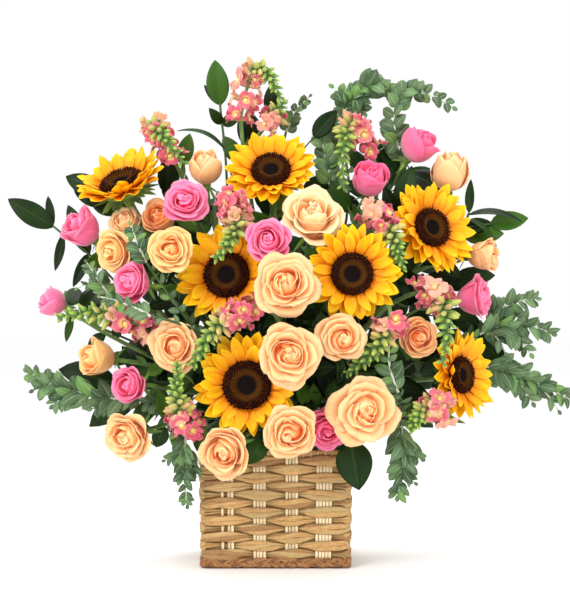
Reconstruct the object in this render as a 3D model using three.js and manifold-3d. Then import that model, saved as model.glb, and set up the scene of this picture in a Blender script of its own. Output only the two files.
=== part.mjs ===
// A woven basket of sunflowers, roses, snapdragons and greenery, built the way a florist builds it:
// basket, waterproof liner, a block of floral foam with holes, and stems that stand in the holes.
// Millimetres, +Z up. The origin is the middle of the basket's underside, and the front faces -Y.
import * as THREE from "three";
import { mergeVertices } from "three/addons/utils/BufferGeometryUtils.js";
import Module from "manifold-3d";

const wasm = await Module();
wasm.setup();

// ---------------------------------------------------------------- driving dimensions

const GAP = 0.3; // left between pieces that rest on each other
const SLIVERS = 0.3; // corners closer than this to a straight line go when small pieces are joined

const BASKET = {
  width: 200, // across the top edge
  depth: 170,
  height: 155,
  taper: 0.97, // size of the foot against the top
  wall: 7,
  floor: 5,
  corner: 7, // cut of each upright corner
  stakesPerSide: 4,
  stakeWidth: 20,
  weaveRows: 12,
  weaveDepth: 2.4, // how far a strip stands out over a stake, or sinks under it
  borderHeight: 13, // plaited foot border
  rimHeight: 9,
};
const LINER = { clearance: 2, wall: 1.2, height: 140 };
const FOAM = { clearance: 1, top: 162, bundleHole: 27, sprayHole: 5.6, holeDepth: 62 };
const BUNDLE = { radius: 24, top: 169 }; // the flower stems gathered in the middle of the foam
const SHANK = { radius: 4, top: 169 }; // one for each spray of greenery or snapdragons

const STEM = { sunflower: 5.5, rose: 3, snapdragon: 2.4, eucalyptus: 1.5, ruscus: 1.4 };

// The reference view is a level camera in front of the basket. A place is written
// [across, down, out]: pixels in that view, and millimetres in front of the basket's middle.
const VIEW = { middle: [285, 302.5], distance: 2200, mmPerPixel: 1.352, height: 346.4, aside: 12.3 };

function place([across, down, out]) {
  const scale = (VIEW.mmPerPixel * (VIEW.distance - out)) / VIEW.distance;
  return new THREE.Vector3(
    VIEW.aside + (across - VIEW.middle[0]) * scale,
    -out,
    VIEW.height + (VIEW.middle[1] - down) * scale,
  );
}

// ---------------------------------------------------------------- where everything is

// yaw turns a bloom to the viewer's right, and pitch lifts its face, both in degrees.
const SUNFLOWERS = [
  { at: [122, 184, 15], radius: 64, disc: 30, yaw: -30, pitch: 54 },
  { at: [271, 171, 30], radius: 60, disc: 27, yaw: -3, pitch: 34 },
  { at: [227, 275, 78], radius: 66, disc: 31, yaw: -10, pitch: 10 },
  { at: [352, 274, 112], radius: 62, disc: 28, yaw: 6, pitch: 0 },
  { at: [431, 228, 45], radius: 62, disc: 27, yaw: 30, pitch: 14 },
  { at: [247, 385, 118], radius: 65, disc: 32, yaw: -4, pitch: 1 },
  { at: [460, 375, 60], radius: 60, disc: 25, yaw: 50, pitch: 6 },
];

// open runs from 0, a closed bud, to 1, a full rose.
const PEACH_ROSES = [
  { at: [205, 168, 15], radius: 23, open: 0.0, yaw: -10, pitch: 66 },
  { at: [312, 219, 92], radius: 42, open: 0.85, yaw: 4, pitch: 32 },
  { at: [172, 251, 110], radius: 30, open: 0.7, yaw: -4, pitch: 8 },
  { at: [116, 249, 70], radius: 29, open: 0.7, yaw: -34, pitch: -12 },
  { at: [286, 285, 160], radius: 40, open: 1.0, yaw: 0, pitch: 10 },
  { at: [289, 355, 176], radius: 41, open: 1.0, yaw: 2, pitch: 4 },
  { at: [341, 339, 142], radius: 32, open: 0.75, yaw: 8, pitch: 4 },
  { at: [177, 347, 92], radius: 34, open: 0.8, yaw: -14, pitch: 4 },
  { at: [98, 358, 42], radius: 27, open: 0.3, yaw: -52, pitch: 6 },
  { at: [131, 436, 105], radius: 34, open: 0.8, yaw: -26, pitch: -8 },
  { at: [227, 450, 152], radius: 34, open: 0.6, yaw: -16, pitch: -10 },
  { at: [290, 430, 166], radius: 36, open: 0.8, yaw: 2, pitch: -4 },
  { at: [363, 411, 153], radius: 43, open: 1.0, yaw: 8, pitch: 0 },
  { at: [417, 338, 92], radius: 27, open: 0.6, yaw: 10, pitch: 4 },
  { at: [450, 172, 5], radius: 27, open: 0.0, yaw: 20, pitch: 74 },
  { at: [483, 256, 18], radius: 25, open: 0.3, yaw: 62, pitch: 0 },
  { at: [160, 218, 30], radius: 25, open: 0.4, yaw: -14, pitch: 20 },
  { at: [127, 224, 22], radius: 23, open: 0.5, yaw: -24, pitch: 24 },
];

const PINK_ROSES = [
  { at: [186, 203, 76], radius: 31, open: 0.8, yaw: -4, pitch: 16 },
  { at: [82, 229, 22], radius: 28, open: 0.3, yaw: -52, pitch: 34 },
  { at: [268, 242, 131], radius: 30, open: 0.7, yaw: -2, pitch: 12 },
  { at: [135, 283, 96], radius: 28, open: 0.6, yaw: -38, pitch: 6 },
  { at: [53, 302, 12], radius: 20, open: 0.2, yaw: -78, pitch: 26 },
  { at: [132, 385, 80], radius: 26, open: 0.5, yaw: -30, pitch: 2 },
  { at: [370, 180, 48], radius: 26, open: 0.3, yaw: 10, pitch: 52 },
  { at: [419, 146, 0], radius: 26, open: 0.2, yaw: 62, pitch: 44 },
  { at: [473, 298, 30], radius: 30, open: 0.6, yaw: 72, pitch: 8 },
  { at: [326, 428, 112], radius: 29, open: 0.6, yaw: 4, pitch: -6 },
];

// A raceme runs from its lowest open florets, past a bend, to its tip of small buds. The counts are
// whorls of two.
const SNAPDRAGONS = {
  snapdragon_top: {
    foot: [-28, 42],
    racemes: [
      { from: [240, 122, 0], bend: [253, 32, 8], tip: [281, 98, 22], florets: 2, buds: 3 },
      { from: [264, 128, -14], bend: [272, 118, -10], tip: [284, 102, -6], florets: 1, buds: 1 },
      { from: [372, 152, 5], bend: [338, 88, 20], tip: [344, 190, 62], florets: 2, buds: 3 },
    ],
  },
  snapdragon_left: {
    foot: [-64, 8],
    racemes: [
      { from: [174, 158, -6], bend: [132, 94, 8], tip: [184, 163, 36], florets: 2, buds: 3 },
      { from: [152, 334, 62], bend: [112, 302, 66], tip: [58, 318, 30], florets: 2, buds: 3 },
      { from: [192, 428, 118], bend: [172, 420, 146], tip: [178, 364, 140], florets: 2, buds: 3 },
    ],
  },
  snapdragon_centre: {
    foot: [-34, -46],
    racemes: [
      { from: [228, 196, 78], bend: [252, 222, 108], tip: [216, 258, 128], florets: 2, buds: 3 },
      { from: [256, 308, 128], bend: [216, 312, 146], tip: [193, 366, 132], florets: 2, buds: 3 },
    ],
  },
  snapdragon_right: {
    foot: [62, -10],
    racemes: [
      { from: [372, 212, 70], bend: [394, 222, 106], tip: [402, 268, 114], florets: 2, buds: 3 },
      { from: [418, 292, 84], bend: [458, 286, 118], tip: [443, 364, 134], florets: 2, buds: 3 },
      { from: [391, 316, 126], bend: [388, 344, 136], tip: [347, 374, 132], florets: 1, buds: 3 },
      { from: [446, 410, 112], bend: [428, 400, 128], tip: [411, 428, 130], florets: 2, buds: 3 },
    ],
  },
};

const EUCALYPTUS = {
  eucalyptus_left: {
    foot: [-60, -40],
    sprigs: [
      { from: [126, 400, 34], bend: [76, 398, 34], tip: [29, 372, 16], leaf: 27, pairs: 4 },
      { from: [108, 294, 50], bend: [98, 280, 46], tip: [87, 263, 34], leaf: 18, pairs: 2 },
      { from: [150, 316, 118], bend: [128, 302, 116], tip: [101, 297, 96], leaf: 17, pairs: 2 },
      { from: [186, 436, 108], bend: [182, 470, 116], tip: [187, 504, 112], leaf: 20, pairs: 3 },
      { from: [146, 262, 104], bend: [138, 246, 110], tip: [131, 226, 104], leaf: 19, pairs: 2 },
    ],
  },
  eucalyptus_top: {
    foot: [26, 46],
    sprigs: [
      { from: [346, 160, -18], bend: [332, 100, -16], tip: [370, 84, -12], leaf: 26, pairs: 3 },
      { from: [402, 168, -22], bend: [374, 55, -22], tip: [452, 107, -18], leaf: 25, pairs: 4 },
      { from: [286, 132, -40], bend: [292, 112, -40], tip: [309, 97, -38], leaf: 16, pairs: 2 },
      { from: [330, 184, 4], bend: [328, 158, 2], tip: [318, 131, 0], leaf: 24, pairs: 2 },
    ],
  },
  eucalyptus_right: {
    foot: [60, 32],
    sprigs: [
      { from: [486, 322, -12], bend: [504, 300, -14], tip: [536, 299, -18], leaf: 23, pairs: 3 },
      { from: [480, 334, 4], bend: [512, 316, 0], tip: [551, 333, -8], leaf: 27, pairs: 3 },
      { from: [484, 366, 8], bend: [520, 372, 4], tip: [569, 399, -6], leaf: 27, pairs: 4 },
      { from: [402, 426, 108], bend: [406, 458, 116], tip: [398, 495, 112], leaf: 26, pairs: 3 },
      { from: [398, 392, 118], bend: [384, 362, 128], tip: [391, 338, 124], leaf: 20, pairs: 2 },
    ],
  },
};

// A leaf runs from root to tip, with its width and how far it arches, in millimetres.
const RUSCUS = {
  ruscus_left: {
    foot: [-62, 40],
    twigs: [
      [[128, 296, -14], [88, 253, 0], [64, 235, 4], [53, 226, 4]],
      [[120, 336, -8], [72, 316, -4]],
    ],
    leaves: [
      { root: [54, 227, 4], tip: [8, 199, 8], width: 31, arch: 6 },
      { root: [53, 226, 4], tip: [48, 196, -8], width: 12, arch: 3 },
      { root: [63, 234, 4], tip: [55, 271, 10], width: 13, arch: -14 },
      { root: [88, 253, 0], tip: [73, 287, 8], width: 15, arch: -9 },
      { root: [90, 255, 0], tip: [68, 205, -20], width: 26, arch: 4 },
      { root: [72, 316, -4], tip: [66, 342, 2], width: 11, arch: 2 },
    ],
  },
  ruscus_top: {
    foot: [-6, 52],
    twigs: [[[228, 205, -26], [225, 150, -22], [221, 115, -20], [220, 103, -20]]],
    leaves: [
      { root: [220, 106, -20], tip: [215, 60, -22], width: 31, arch: 4 },
      { root: [220, 105, -20], tip: [204, 85, -26], width: 11, arch: 2 },
      { root: [222, 124, -20], tip: [209, 108, -4], width: 15, arch: 2 },
      { root: [222, 124, -20], tip: [241, 116, -8], width: 17, arch: 2 },
      { root: [225, 150, -22], tip: [177, 131, -16], width: 12, arch: 12 },
      { root: [225, 152, -22], tip: [243, 147, -24], width: 13, arch: 2 },
    ],
  },
  ruscus_right: {
    foot: [66, 48],
    twigs: [[[452, 244, -26], [466, 220, -12], [469, 213, -10]]],
    leaves: [
      { root: [469, 215, -10], tip: [522, 222, -4], width: 19, arch: 9 },
      { root: [469, 213, -10], tip: [471, 179, -14], width: 13, arch: -4 },
      { root: [467, 219, -10], tip: [497, 249, -2], width: 15, arch: 8 },
    ],
  },
  ruscus_front: {
    foot: [56, -56],
    twigs: [
      [[332, 446, 96], [350, 440, 112]],
      [[270, 446, 92], [262, 440, 104]],
      [[380, 262, 10], [398, 214, 4]],
    ],
    leaves: [
      { root: [350, 440, 112], tip: [359, 490, 120], width: 47, arch: 6 },
      { root: [262, 440, 104], tip: [248, 464, 112], width: 28, arch: 4 },
      { root: [398, 214, 4], tip: [412, 166, -2], width: 30, arch: 4 },
      { root: [396, 220, 4], tip: [384, 186, 12], width: 22, arch: 4 },
    ],
  },
  ruscus_back: { foot: [0, 60], twigs: [], leaves: [] },
};
// Fans of long leafy branches fill the space between and behind the blooms. lean tips a fan back.
const FANS = {
  ruscus_front: { branches: 5, spread: 52, reach: 205, lean: 5, leaves: 2, leaf: 66, width: 34 },
  ruscus_back: { branches: 7, spread: 74, reach: 300, lean: 9, leaves: 5, leaf: 82, width: 40 },
};

const COLOURS = {
  reed: 0xc79a5b,
  border: 0xa8743c,
  liner: 0x2f3a33,
  foam: 0x2c5a37,
  stem: 0x5f8a3a,
  sunPetal: 0xfdb005,
  sunDisc: 0x2a1710,
  peach: 0xf9c58d,
  pink: 0xf06f9f,
  snapdragon: 0xd98a78,
  eucalyptus: 0x5d8a5f,
  ruscus: 0x23491f,
};

// ---------------------------------------------------------------- solids

// A closed geometry as a solid, with shared corners merged and collapsed faces dropped.
function toSolid(geometry) {
  const plain = new THREE.BufferGeometry().setAttribute("position", geometry.getAttribute("position"));
  if (geometry.index) plain.setIndex(geometry.index);
  const merged = mergeVertices(plain, 1e-3);
  const corners = merged.index.array;
  const triVerts = [];
  for (let i = 0; i < corners.length; i += 3) {
    const [a, b, c] = corners.slice(i, i + 3);
    if (a !== b && b !== c && c !== a) triVerts.push(a, b, c);
  }
  return new wasm.Manifold(
    new wasm.Mesh({
      numProp: 3,
      vertProperties: merged.attributes.position.array,
      triVerts: new Uint32Array(triVerts),
    }),
  );
}

function toGeometry(solid) {
  const mesh = solid.getMesh();
  const geometry = new THREE.BufferGeometry();
  const positions = new Float32Array(mesh.numVert * 3);
  for (let i = 0; i < mesh.numVert; i++) {
    const start = i * mesh.numProp;
    positions.set(mesh.vertProperties.subarray(start, start + 3), i * 3);
  }
  geometry.setAttribute("position", new THREE.BufferAttribute(positions, 3));
  geometry.setIndex(new THREE.BufferAttribute(mesh.triVerts, 1));
  geometry.computeVertexNormals();
  return geometry;
}

// Joins solids into one body, drops a scrap that touches nothing, and merges the slivers of the join.
function fuse(solids, slivers = SLIVERS) {
  const bodies = wasm.Manifold.union(solids).simplify(slivers).decompose();
  return bodies.reduce((most, body) => (body.volume() > most.volume() ? body : most));
}

// A closed surface swept round Z whose points come from a formula: at(sector, level) gives [x, y, z].
// Levels run from the bottom middle, up the outside, to the top middle.
function sweep(sectors, levels, at) {
  const line = Array.from({ length: levels }, (_, level) => new THREE.Vector2(1, level));
  const geometry = new THREE.LatheGeometry(line, sectors);
  const position = geometry.getAttribute("position");
  for (let sector = 0; sector <= sectors; sector++)
    for (let level = 0; level < levels; level++)
      position.setXYZ(sector * levels + level, ...at(sector % sectors, level));
  return toSolid(geometry);
}

function polygon(radius, sides) {
  const corner = (i) => {
    const angle = ((i + 0.5) * 2 * Math.PI) / sides;
    return new THREE.Vector2(radius * Math.cos(angle), radius * Math.sin(angle));
  };
  return new THREE.Shape(Array.from({ length: sides }, (_, i) => corner(i)));
}

function tube(curve, radius, sides, steps) {
  return toSolid(
    new THREE.ExtrudeGeometry(polygon(radius, sides), { steps, bevelEnabled: false, extrudePath: curve }),
  );
}

function upright([x, y], radius, sides, bottom, top) {
  const geometry = new THREE.CylinderGeometry(radius, radius, top - bottom, sides);
  geometry.rotateX(Math.PI / 2).translate(x, y, (top + bottom) / 2);
  return toSolid(geometry);
}

// A seeded random draw from -1 to 1, so that every build is the same.
function randomDraw(seed) {
  let state = seed;
  return () => {
    state = (state * 16807) % 2147483647;
    return (state / 2147483647) * 2 - 1;
  };
}

const radians = THREE.MathUtils.degToRad;
const mix = THREE.MathUtils.lerp;

// ---------------------------------------------------------------- basket, liner and foam

// The basket's outline at a height, as a walk round it: 2 points for each stake and 2 for each corner.
const STAKE_EDGES = 2 * BASKET.stakesPerSide;
const POINTS_PER_SIDE = STAKE_EDGES + 2;
const BASKET_POINTS = 4 * POINTS_PER_SIDE;

function basketPoint(index, z, outward) {
  const side = Math.floor(index / POINTS_PER_SIDE);
  const step = (index % POINTS_PER_SIDE) - 1;
  const size = mix(BASKET.taper, 1, z / BASKET.height);
  const [length, reach] = side % 2 ? [BASKET.depth, BASKET.width / 2] : [BASKET.width, BASKET.depth / 2];
  const half = length / 2 - BASKET.corner;
  let along;
  if (step < 0) along = -half;
  else if (step === STAKE_EDGES) along = half;
  else along = stakeAlong(length, Math.floor(step / 2)) + (step % 2 ? 0.5 : -0.5) * BASKET.stakeWidth;
  const point = new THREE.Vector2(along * size, -(reach * size + outward));
  const atCorner = step < 0 || step === STAKE_EDGES;
  if (atCorner) point.x += Math.sign(along) * outward * 0.4;
  return point.rotateAround(new THREE.Vector2(), (side * Math.PI) / 2);
}

function stakeAlong(length, stake) {
  return ((stake + 0.5) / BASKET.stakesPerSide - 0.5) * (length - 2 * BASKET.corner - 16);
}

// How far the surface stands out where a strip of a row passes over a stake, or sinks under it.
function weaveAt(index, row) {
  const step = (index % POINTS_PER_SIDE) - 1;
  if (step < 0 || step === STAKE_EDGES) return 0;
  const over = (Math.floor(step / 2) + row) % 2 === 0;
  return over ? BASKET.weaveDepth : -BASKET.weaveDepth;
}

function basketWeave() {
  const { height, wall, floor, borderHeight, rimHeight, weaveRows } = BASKET;
  const rowHeight = (height - borderHeight - rimHeight) / weaveRows;
  const levels = [(i) => [0, 0, 0]];
  const ring = (z, outward) => (i) => [...basketPoint(i, z, outward(i)).toArray(), z];
  levels.push(ring(0, () => -3), ring(borderHeight, () => -3));
  for (let row = 0; row < weaveRows; row++) {
    const bottom = borderHeight + row * rowHeight;
    levels.push(ring(bottom + 0.5 * rowHeight, (i) => weaveAt(i, row) - BASKET.weaveDepth));
  }
  levels.push(ring(height - rimHeight, () => -3), ring(height, () => -3));
  levels.push(ring(height, () => -wall), ring(floor, () => -wall), (i) => [0, 0, floor]);
  return sweep(BASKET_POINTS, levels.length, (i, level) => levels[level](i));
}

// A band laid round the basket. It turns only at the basket's corners, which have two points each.
function basketBand(bottom, top) {
  const line = (z, outward) => (i) => {
    const index = POINTS_PER_SIDE * Math.floor(i / 2) + (i % 2 ? POINTS_PER_SIDE - 1 : 0);
    return [...basketPoint(index, z, outward).toArray(), z];
  };
  const inside = -3 + GAP;
  const walk = [
    line(top, inside),
    line(bottom, inside),
    line(bottom, -0.4),
    line(top, -0.4),
    line(top, inside),
  ];
  return sweep(8, walk.length, (i, level) => walk[level](i));
}

function box(width, depth, bottom, top) {
  const geometry = new THREE.BoxGeometry(width, depth, top - bottom);
  geometry.translate(0, 0, (top + bottom) / 2);
  return toSolid(geometry);
}

const INNER_WIDTH = BASKET.width * BASKET.taper - 2 * BASKET.wall;
const INNER_DEPTH = BASKET.depth * BASKET.taper - 2 * BASKET.wall;
const LINER_BOTTOM = BASKET.floor + GAP;
const FOAM_BOTTOM = LINER_BOTTOM + LINER.wall + GAP;
const FOAM_WIDTH = INNER_WIDTH - 2 * (LINER.clearance + LINER.wall + FOAM.clearance);
const FOAM_DEPTH = INNER_DEPTH - 2 * (LINER.clearance + LINER.wall + FOAM.clearance);

function liner() {
  const width = INNER_WIDTH - 2 * LINER.clearance;
  const depth = INNER_DEPTH - 2 * LINER.clearance;
  const outside = box(width, depth, LINER_BOTTOM, LINER.height);
  const inside = box(
    width - 2 * LINER.wall,
    depth - 2 * LINER.wall,
    LINER_BOTTOM + LINER.wall,
    LINER.height + 1,
  );
  return outside.subtract(inside);
}

const FOOT = FOAM.top - FOAM.holeDepth; // where every stem ends, GAP above the bottom of its hole

function foam(feet) {
  const block = box(FOAM_WIDTH, FOAM_DEPTH, FOAM_BOTTOM, FOAM.top);
  const holes = [upright([0, 0], FOAM.bundleHole, 8, FOOT - GAP, FOAM.top + 1)];
  for (const foot of feet) holes.push(upright(foot, FOAM.sprayHole, 5, FOOT - GAP, FOAM.top + 1));
  return block.subtract(wasm.Manifold.union(holes));
}

// ---------------------------------------------------------------- what is already placed

// Every placed piece leaves a trail of balls. Later stems bow round them, and leaves that would
// cross one are left out.
const balls = [];

function occupy(owner, centre, radius) {
  balls.push({ owner, centre, radius });
}

function roomAt(point, radius, ...owners) {
  let room = Infinity;
  for (const ball of balls) {
    if (owners.includes(ball.owner)) continue;
    room = Math.min(room, ball.centre.distanceTo(point) - ball.radius - radius);
    if (room < -20) return room;
  }
  return Math.min(room, roomAtBasket(point) - radius);
}

// Distance from the basket and the foam, which are boxes.
function roomAtBasket({ x, y, z }) {
  const beside = (halfWidth, halfDepth, top) =>
    Math.max(Math.abs(x) - halfWidth, Math.abs(y) - halfDepth, z - top);
  const rim = beside(BASKET.width / 2, BASKET.depth / 2, BASKET.height);
  return Math.min(rim, beside(FOAM_WIDTH / 2, FOAM_DEPTH / 2, FOAM.top));
}

// A tube is straight between its steps. These are points along those straight runs.
function trail(curve, steps, spacing) {
  const corners = curve.getSpacedPoints(steps);
  const points = [corners[0]];
  for (let i = 0; i < steps; i++) {
    const count = Math.ceil(corners[i].distanceTo(corners[i + 1]) / spacing);
    for (let j = 1; j <= count; j++) points.push(corners[i].clone().lerp(corners[i + 1], j / count));
  }
  return points;
}

// The point of a tube's middle at a share of its length.
function tubePoint(curve, steps, share) {
  const corners = curve.getSpacedPoints(steps);
  const step = Math.min(steps - 1, Math.floor(share * steps));
  return corners[step].clone().lerp(corners[step + 1], share * steps - step);
}

// A stem's line from its foot to its end. It leaves upwards, arrives along the given direction,
// and takes the smallest bow that keeps it clear of everything but its two ends.
const STEM_STEPS = 4;
const BOWS = [0, 12, 24, 36, 50, 66, 84];
const BOW_TURNS = 12;

function stemLine(from, to, arrival, { radius, owners, nearFoot = 0 }) {
  const reach = from.distanceTo(to);
  const lift = from.clone().add(new THREE.Vector3(0, 0, Math.max(24, 0.3 * reach)));
  const before = to.clone().addScaledVector(arrival, -0.3 * reach);
  let best = null;
  for (const bow of BOWS)
    for (let turn = 0; turn < (bow ? BOW_TURNS : 1); turn++) {
      const angle = (turn * 2 * Math.PI) / BOW_TURNS;
      const aside = new THREE.Vector3(Math.cos(angle), 0.7 * Math.sin(angle), 0.5 * Math.sin(angle));
      const first = lift.clone().addScaledVector(aside, bow);
      const second = before.clone().addScaledVector(aside, 0.6 * bow);
      const curve = new THREE.CubicBezierCurve3(from, first, second, to);
      const tested = trail(curve, STEM_STEPS, 7).filter(
        (point) => point.distanceTo(from) > nearFoot && point.distanceTo(to) > 8,
      );
      const room = Math.min(...tested.map((point) => roomAt(point, radius, ...owners)));
      if (!best || room > best.room) best = { curve, room };
      if (room > 1.4) return curve;
    }
  return best.curve;
}

function occupyLine(owner, curve, steps, radius) {
  for (const point of trail(curve, steps, 1.4 * radius + 2)) occupy(owner, point, radius);
}

// ---------------------------------------------------------------- blooms

// The way a bloom faces, as a matrix: its own Z points out of its face, and its own Y is up.
function facing({ yaw, pitch }) {
  const [a, p] = [radians(yaw), radians(pitch)];
  const out = new THREE.Vector3(Math.sin(a) * Math.cos(p), -Math.cos(a) * Math.cos(p), Math.sin(p));
  const right = new THREE.Vector3(Math.cos(a), Math.sin(a), 0);
  return { out, turn: new THREE.Matrix4().makeBasis(right, out.clone().cross(right), out) };
}

// A rose is layers of petals round a heart. Each ring below is [width, height], as shares of the
// rose's radius and height, first for a bud and then for a full rose.
const ROSE_RINGS = [
  { bud: [0.9, 0.3], full: [0.66, 0.16], petals: "outer" },
  { bud: [0.98, 0.74], full: [1.0, 0.62], petals: "outer", edge: true },
  { bud: [0.74, 0.64], full: [0.76, 0.5] },
  { bud: [0.62, 0.96], full: [0.7, 0.9], petals: "inner", edge: true },
  { bud: [0.4, 0.82], full: [0.46, 0.66] },
  { bud: [0.3, 1.02], full: [0.36, 1.0], petals: "heart", edge: true },
];
const ROSE_PETALS = 5;

function roseHeight({ radius, open }) {
  return radius * mix(1.95, 1.25, open);
}

function rose(bloom, seed) {
  const { radius, open } = bloom;
  const height = roseHeight(bloom);
  const perPetal = radius > 38 ? 3 : 2;
  const sectors = ROSE_PETALS * perPetal;
  const draw = randomDraw(seed);
  const uneven = ROSE_RINGS.map(() => Array.from({ length: sectors }, () => 0.03 * draw()));
  return sweep(sectors, ROSE_RINGS.length + 2, (sector, level) => {
    if (level === 0) return [0, 0, 0];
    if (level > ROSE_RINGS.length) return [0, 0, 0.8 * height];
    const ring = ROSE_RINGS[level - 1];
    const share = (sector % perPetal) / (perPetal - 1); // 0 where a petal laps its neighbour
    let width = mix(ring.bud[0], ring.full[0], open);
    let up = mix(ring.bud[1], ring.full[1], open);
    const shift = ring.petals === "inner" ? 1 - share : share;
    if (ring.petals) width *= 1.05 - 0.17 * shift;
    if (ring.edge) up += 0.05 * (0.5 - shift) + uneven[level - 1][sector];
    const angle = ((sector + (ring.petals === "heart" ? 0.6 : 0)) * 2 * Math.PI) / sectors;
    const reach = radius * width;
    return [reach * Math.cos(angle), reach * Math.sin(angle), height * up];
  });
}

// A ring of petals that is one thin body: each petal is a blade, thickest along its rib, and the
// blades share a hub. cup is how steeply the petals rise from it.
function petalCrown({ count, root, reach, cup, thick, hubBottom, hubTop, phase, seed }) {
  const draw = randomDraw(seed);
  const position = [];
  const index = [];
  const point = (angle, radius, z) => {
    position.push(radius * Math.cos(angle), radius * Math.sin(angle), z);
    return position.length / 3 - 1;
  };
  const rise = (radius) => (hubTop + hubBottom) / 2 + (radius - root) * Math.tan(cup);
  const top = point(0, 0, hubTop);
  const bottom = point(0, 0, hubBottom);
  const step = (2 * Math.PI) / count;
  const notches = Array.from({ length: count }, (_, i) => {
    const angle = phase + (i - 0.5) * step;
    return [point(angle, root, hubTop), point(angle, root, hubBottom)];
  });
  for (let i = 0; i < count; i++) {
    const angle = phase + i * step + 0.06 * draw();
    const tip = reach * (1 + 0.05 * draw());
    const lift = 0.05 * reach * draw();
    const [nearTop, nearBottom] = notches[i];
    const [farTop, farBottom] = notches[(i + 1) % count];
    const shoulder = 0.7 * tip;
    const first = point(angle - 0.46 * step, shoulder, rise(shoulder) + 0.4 * lift);
    const end = point(angle, tip, rise(tip) + lift);
    const second = point(angle + 0.46 * step, shoulder, rise(shoulder) + 0.4 * lift);
    const ribTop = point(angle, 0.66 * tip, rise(0.66 * tip) + 0.5 * lift + 0.6 * thick);
    index.push(top, nearTop, farTop, bottom, farBottom, nearBottom);
    index.push(ribTop, nearTop, first, ribTop, first, end, ribTop, end, second);
    index.push(ribTop, second, farTop, ribTop, farTop, nearTop);
    index.push(end, first, nearBottom, end, nearBottom, farBottom, end, farBottom, second);
    index.push(nearTop, nearBottom, first, farBottom, farTop, second);
  }
  return closedSurface(position, index);
}

const SUN_PETALS = 11; // in each of the two rows
const SUN_HUB = 3; // thickness of each row's hub
const SUN_ROWS_APART = 0.5;

function sunflowerPetals({ radius, disc }, seed) {
  const row = (shape) =>
    petalCrown({ count: SUN_PETALS, root: disc * 1.02, reach: radius, thick: 1.6, ...shape });
  const front = row({ cup: radians(24), hubBottom: 0, hubTop: SUN_HUB, phase: 0, seed });
  const back = row({
    cup: radians(9),
    hubBottom: -SUN_ROWS_APART - SUN_HUB,
    hubTop: -SUN_ROWS_APART,
    phase: Math.PI / SUN_PETALS,
    seed: seed + 1,
  });
  const plug = upright([0, 0], disc * 0.6, 5, -SUN_ROWS_APART - 1.5, 1.5);
  return wasm.Manifold.union([front, back, plug]);
}

// The disc's florets are a relief: every second corner of its rings stands out of it.
const DISC_RINGS = [[0.96, 0], [0.98, 0.2], [0.74, 0.31], [0.42, 0.19]];
const DISC_SECTORS = 12;
const FLORET = 0.07;

function sunflowerDisc({ disc }) {
  const bottom = SUN_HUB + GAP;
  return sweep(DISC_SECTORS, DISC_RINGS.length + 2, (sector, level) => {
    if (level === 0) return [0, 0, bottom];
    if (level > DISC_RINGS.length) return [0, 0, bottom + 0.1 * disc];
    const [width, up] = DISC_RINGS[level - 1];
    const raised = level > 1 && (sector + level) % 2 ? FLORET : 0;
    const angle = ((sector + 0.5 * (level % 2)) * 2 * Math.PI) / DISC_SECTORS;
    const reach = disc * 0.97 * width;
    return [reach * Math.cos(angle), reach * Math.sin(angle), bottom + disc * (up + raised)];
  });
}

// A bloom's stem and the bracts under the bloom, as one closed surface: a tube with a few sides
// that opens at its top into a star of points, bent back, with a shallow cone above it.
function bloomStem(curve, { base, out, turn, sides, radius, points, reach, back, thick }) {
  const position = [];
  const index = [];
  const point = (vector) => {
    position.push(...vector.toArray());
    return position.length / 3 - 1;
  };
  const spoke = (angle, size) =>
    new THREE.Vector3(size * Math.cos(angle), size * Math.sin(angle), 0).applyMatrix4(turn);
  const tubeRing = (centre, rotation) =>
    Array.from({ length: sides }, (_, i) =>
      point(spoke((i * 2 * Math.PI) / sides, radius).applyQuaternion(rotation).add(centre)),
    );
  // The rings are made from the bloom downwards, each one turned only as far as the line bends.
  const rings = [tubeRing(base.clone().addScaledVector(out, -GAP - thick), new THREE.Quaternion())];
  const rotation = new THREE.Quaternion();
  let heading = out;
  for (let step = STEM_STEPS - 1; step >= 0; step--) {
    const tangent = curve.getTangentAt(step / STEM_STEPS);
    rotation.premultiply(new THREE.Quaternion().setFromUnitVectors(heading, tangent));
    rings.unshift(tubeRing(curve.getPointAt(step / STEM_STEPS), rotation));
    heading = tangent;
  }
  fanOver(index, [...rings[0]].reverse(), point(curve.getPointAt(0)));
  for (let step = 0; step < STEM_STEPS; step++) stripBetween(index, rings[step], rings[step + 1]);
  const neck = rings[STEM_STEPS];
  const star = Array.from({ length: 2 * points }, (_, i) => {
    const depth = GAP + back * (i % 2 ? 0.45 : 1);
    const ray = spoke((i * Math.PI) / points, reach * (i % 2 ? 0.4 : 1));
    return point(ray.add(base).addScaledVector(out, -depth));
  });
  for (let i = 0, j = 0; i < star.length; i++) {
    const next = (i + 1) % star.length;
    const reached = (i + 1) / star.length;
    index.push(neck[j % sides], star[next], star[i]);
    if (reached >= (j + 1) / sides - 1e-6) {
      index.push(neck[j % sides], neck[(j + 1) % sides], star[next]);
      j++;
    }
  }
  fanOver(index, star, point(base.clone().addScaledVector(out, -GAP)));
  return closedSurface(position, index);
}

// Triangles between two rings of the same number of points, and from a ring to one point over it.
function stripBetween(index, from, to) {
  for (let i = 0; i < from.length; i++) {
    const next = (i + 1) % from.length;
    index.push(from[i], from[next], to[next], from[i], to[next], to[i]);
  }
}

function fanOver(index, ring, tip) {
  for (let i = 0; i < ring.length; i++) index.push(ring[i], ring[(i + 1) % ring.length], tip);
}

function closedSurface(position, index) {
  const geometry = new THREE.BufferGeometry();
  geometry.setAttribute("position", new THREE.Float32BufferAttribute(position, 3));
  geometry.setIndex(index);
  return toSolid(geometry);
}

function placedSolid(solid, turn, at) {
  const e = new THREE.Matrix4().copy(turn).setPosition(at).elements;
  return solid.transform([...e]);
}

// ---------------------------------------------------------------- leaves, buds and florets

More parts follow.
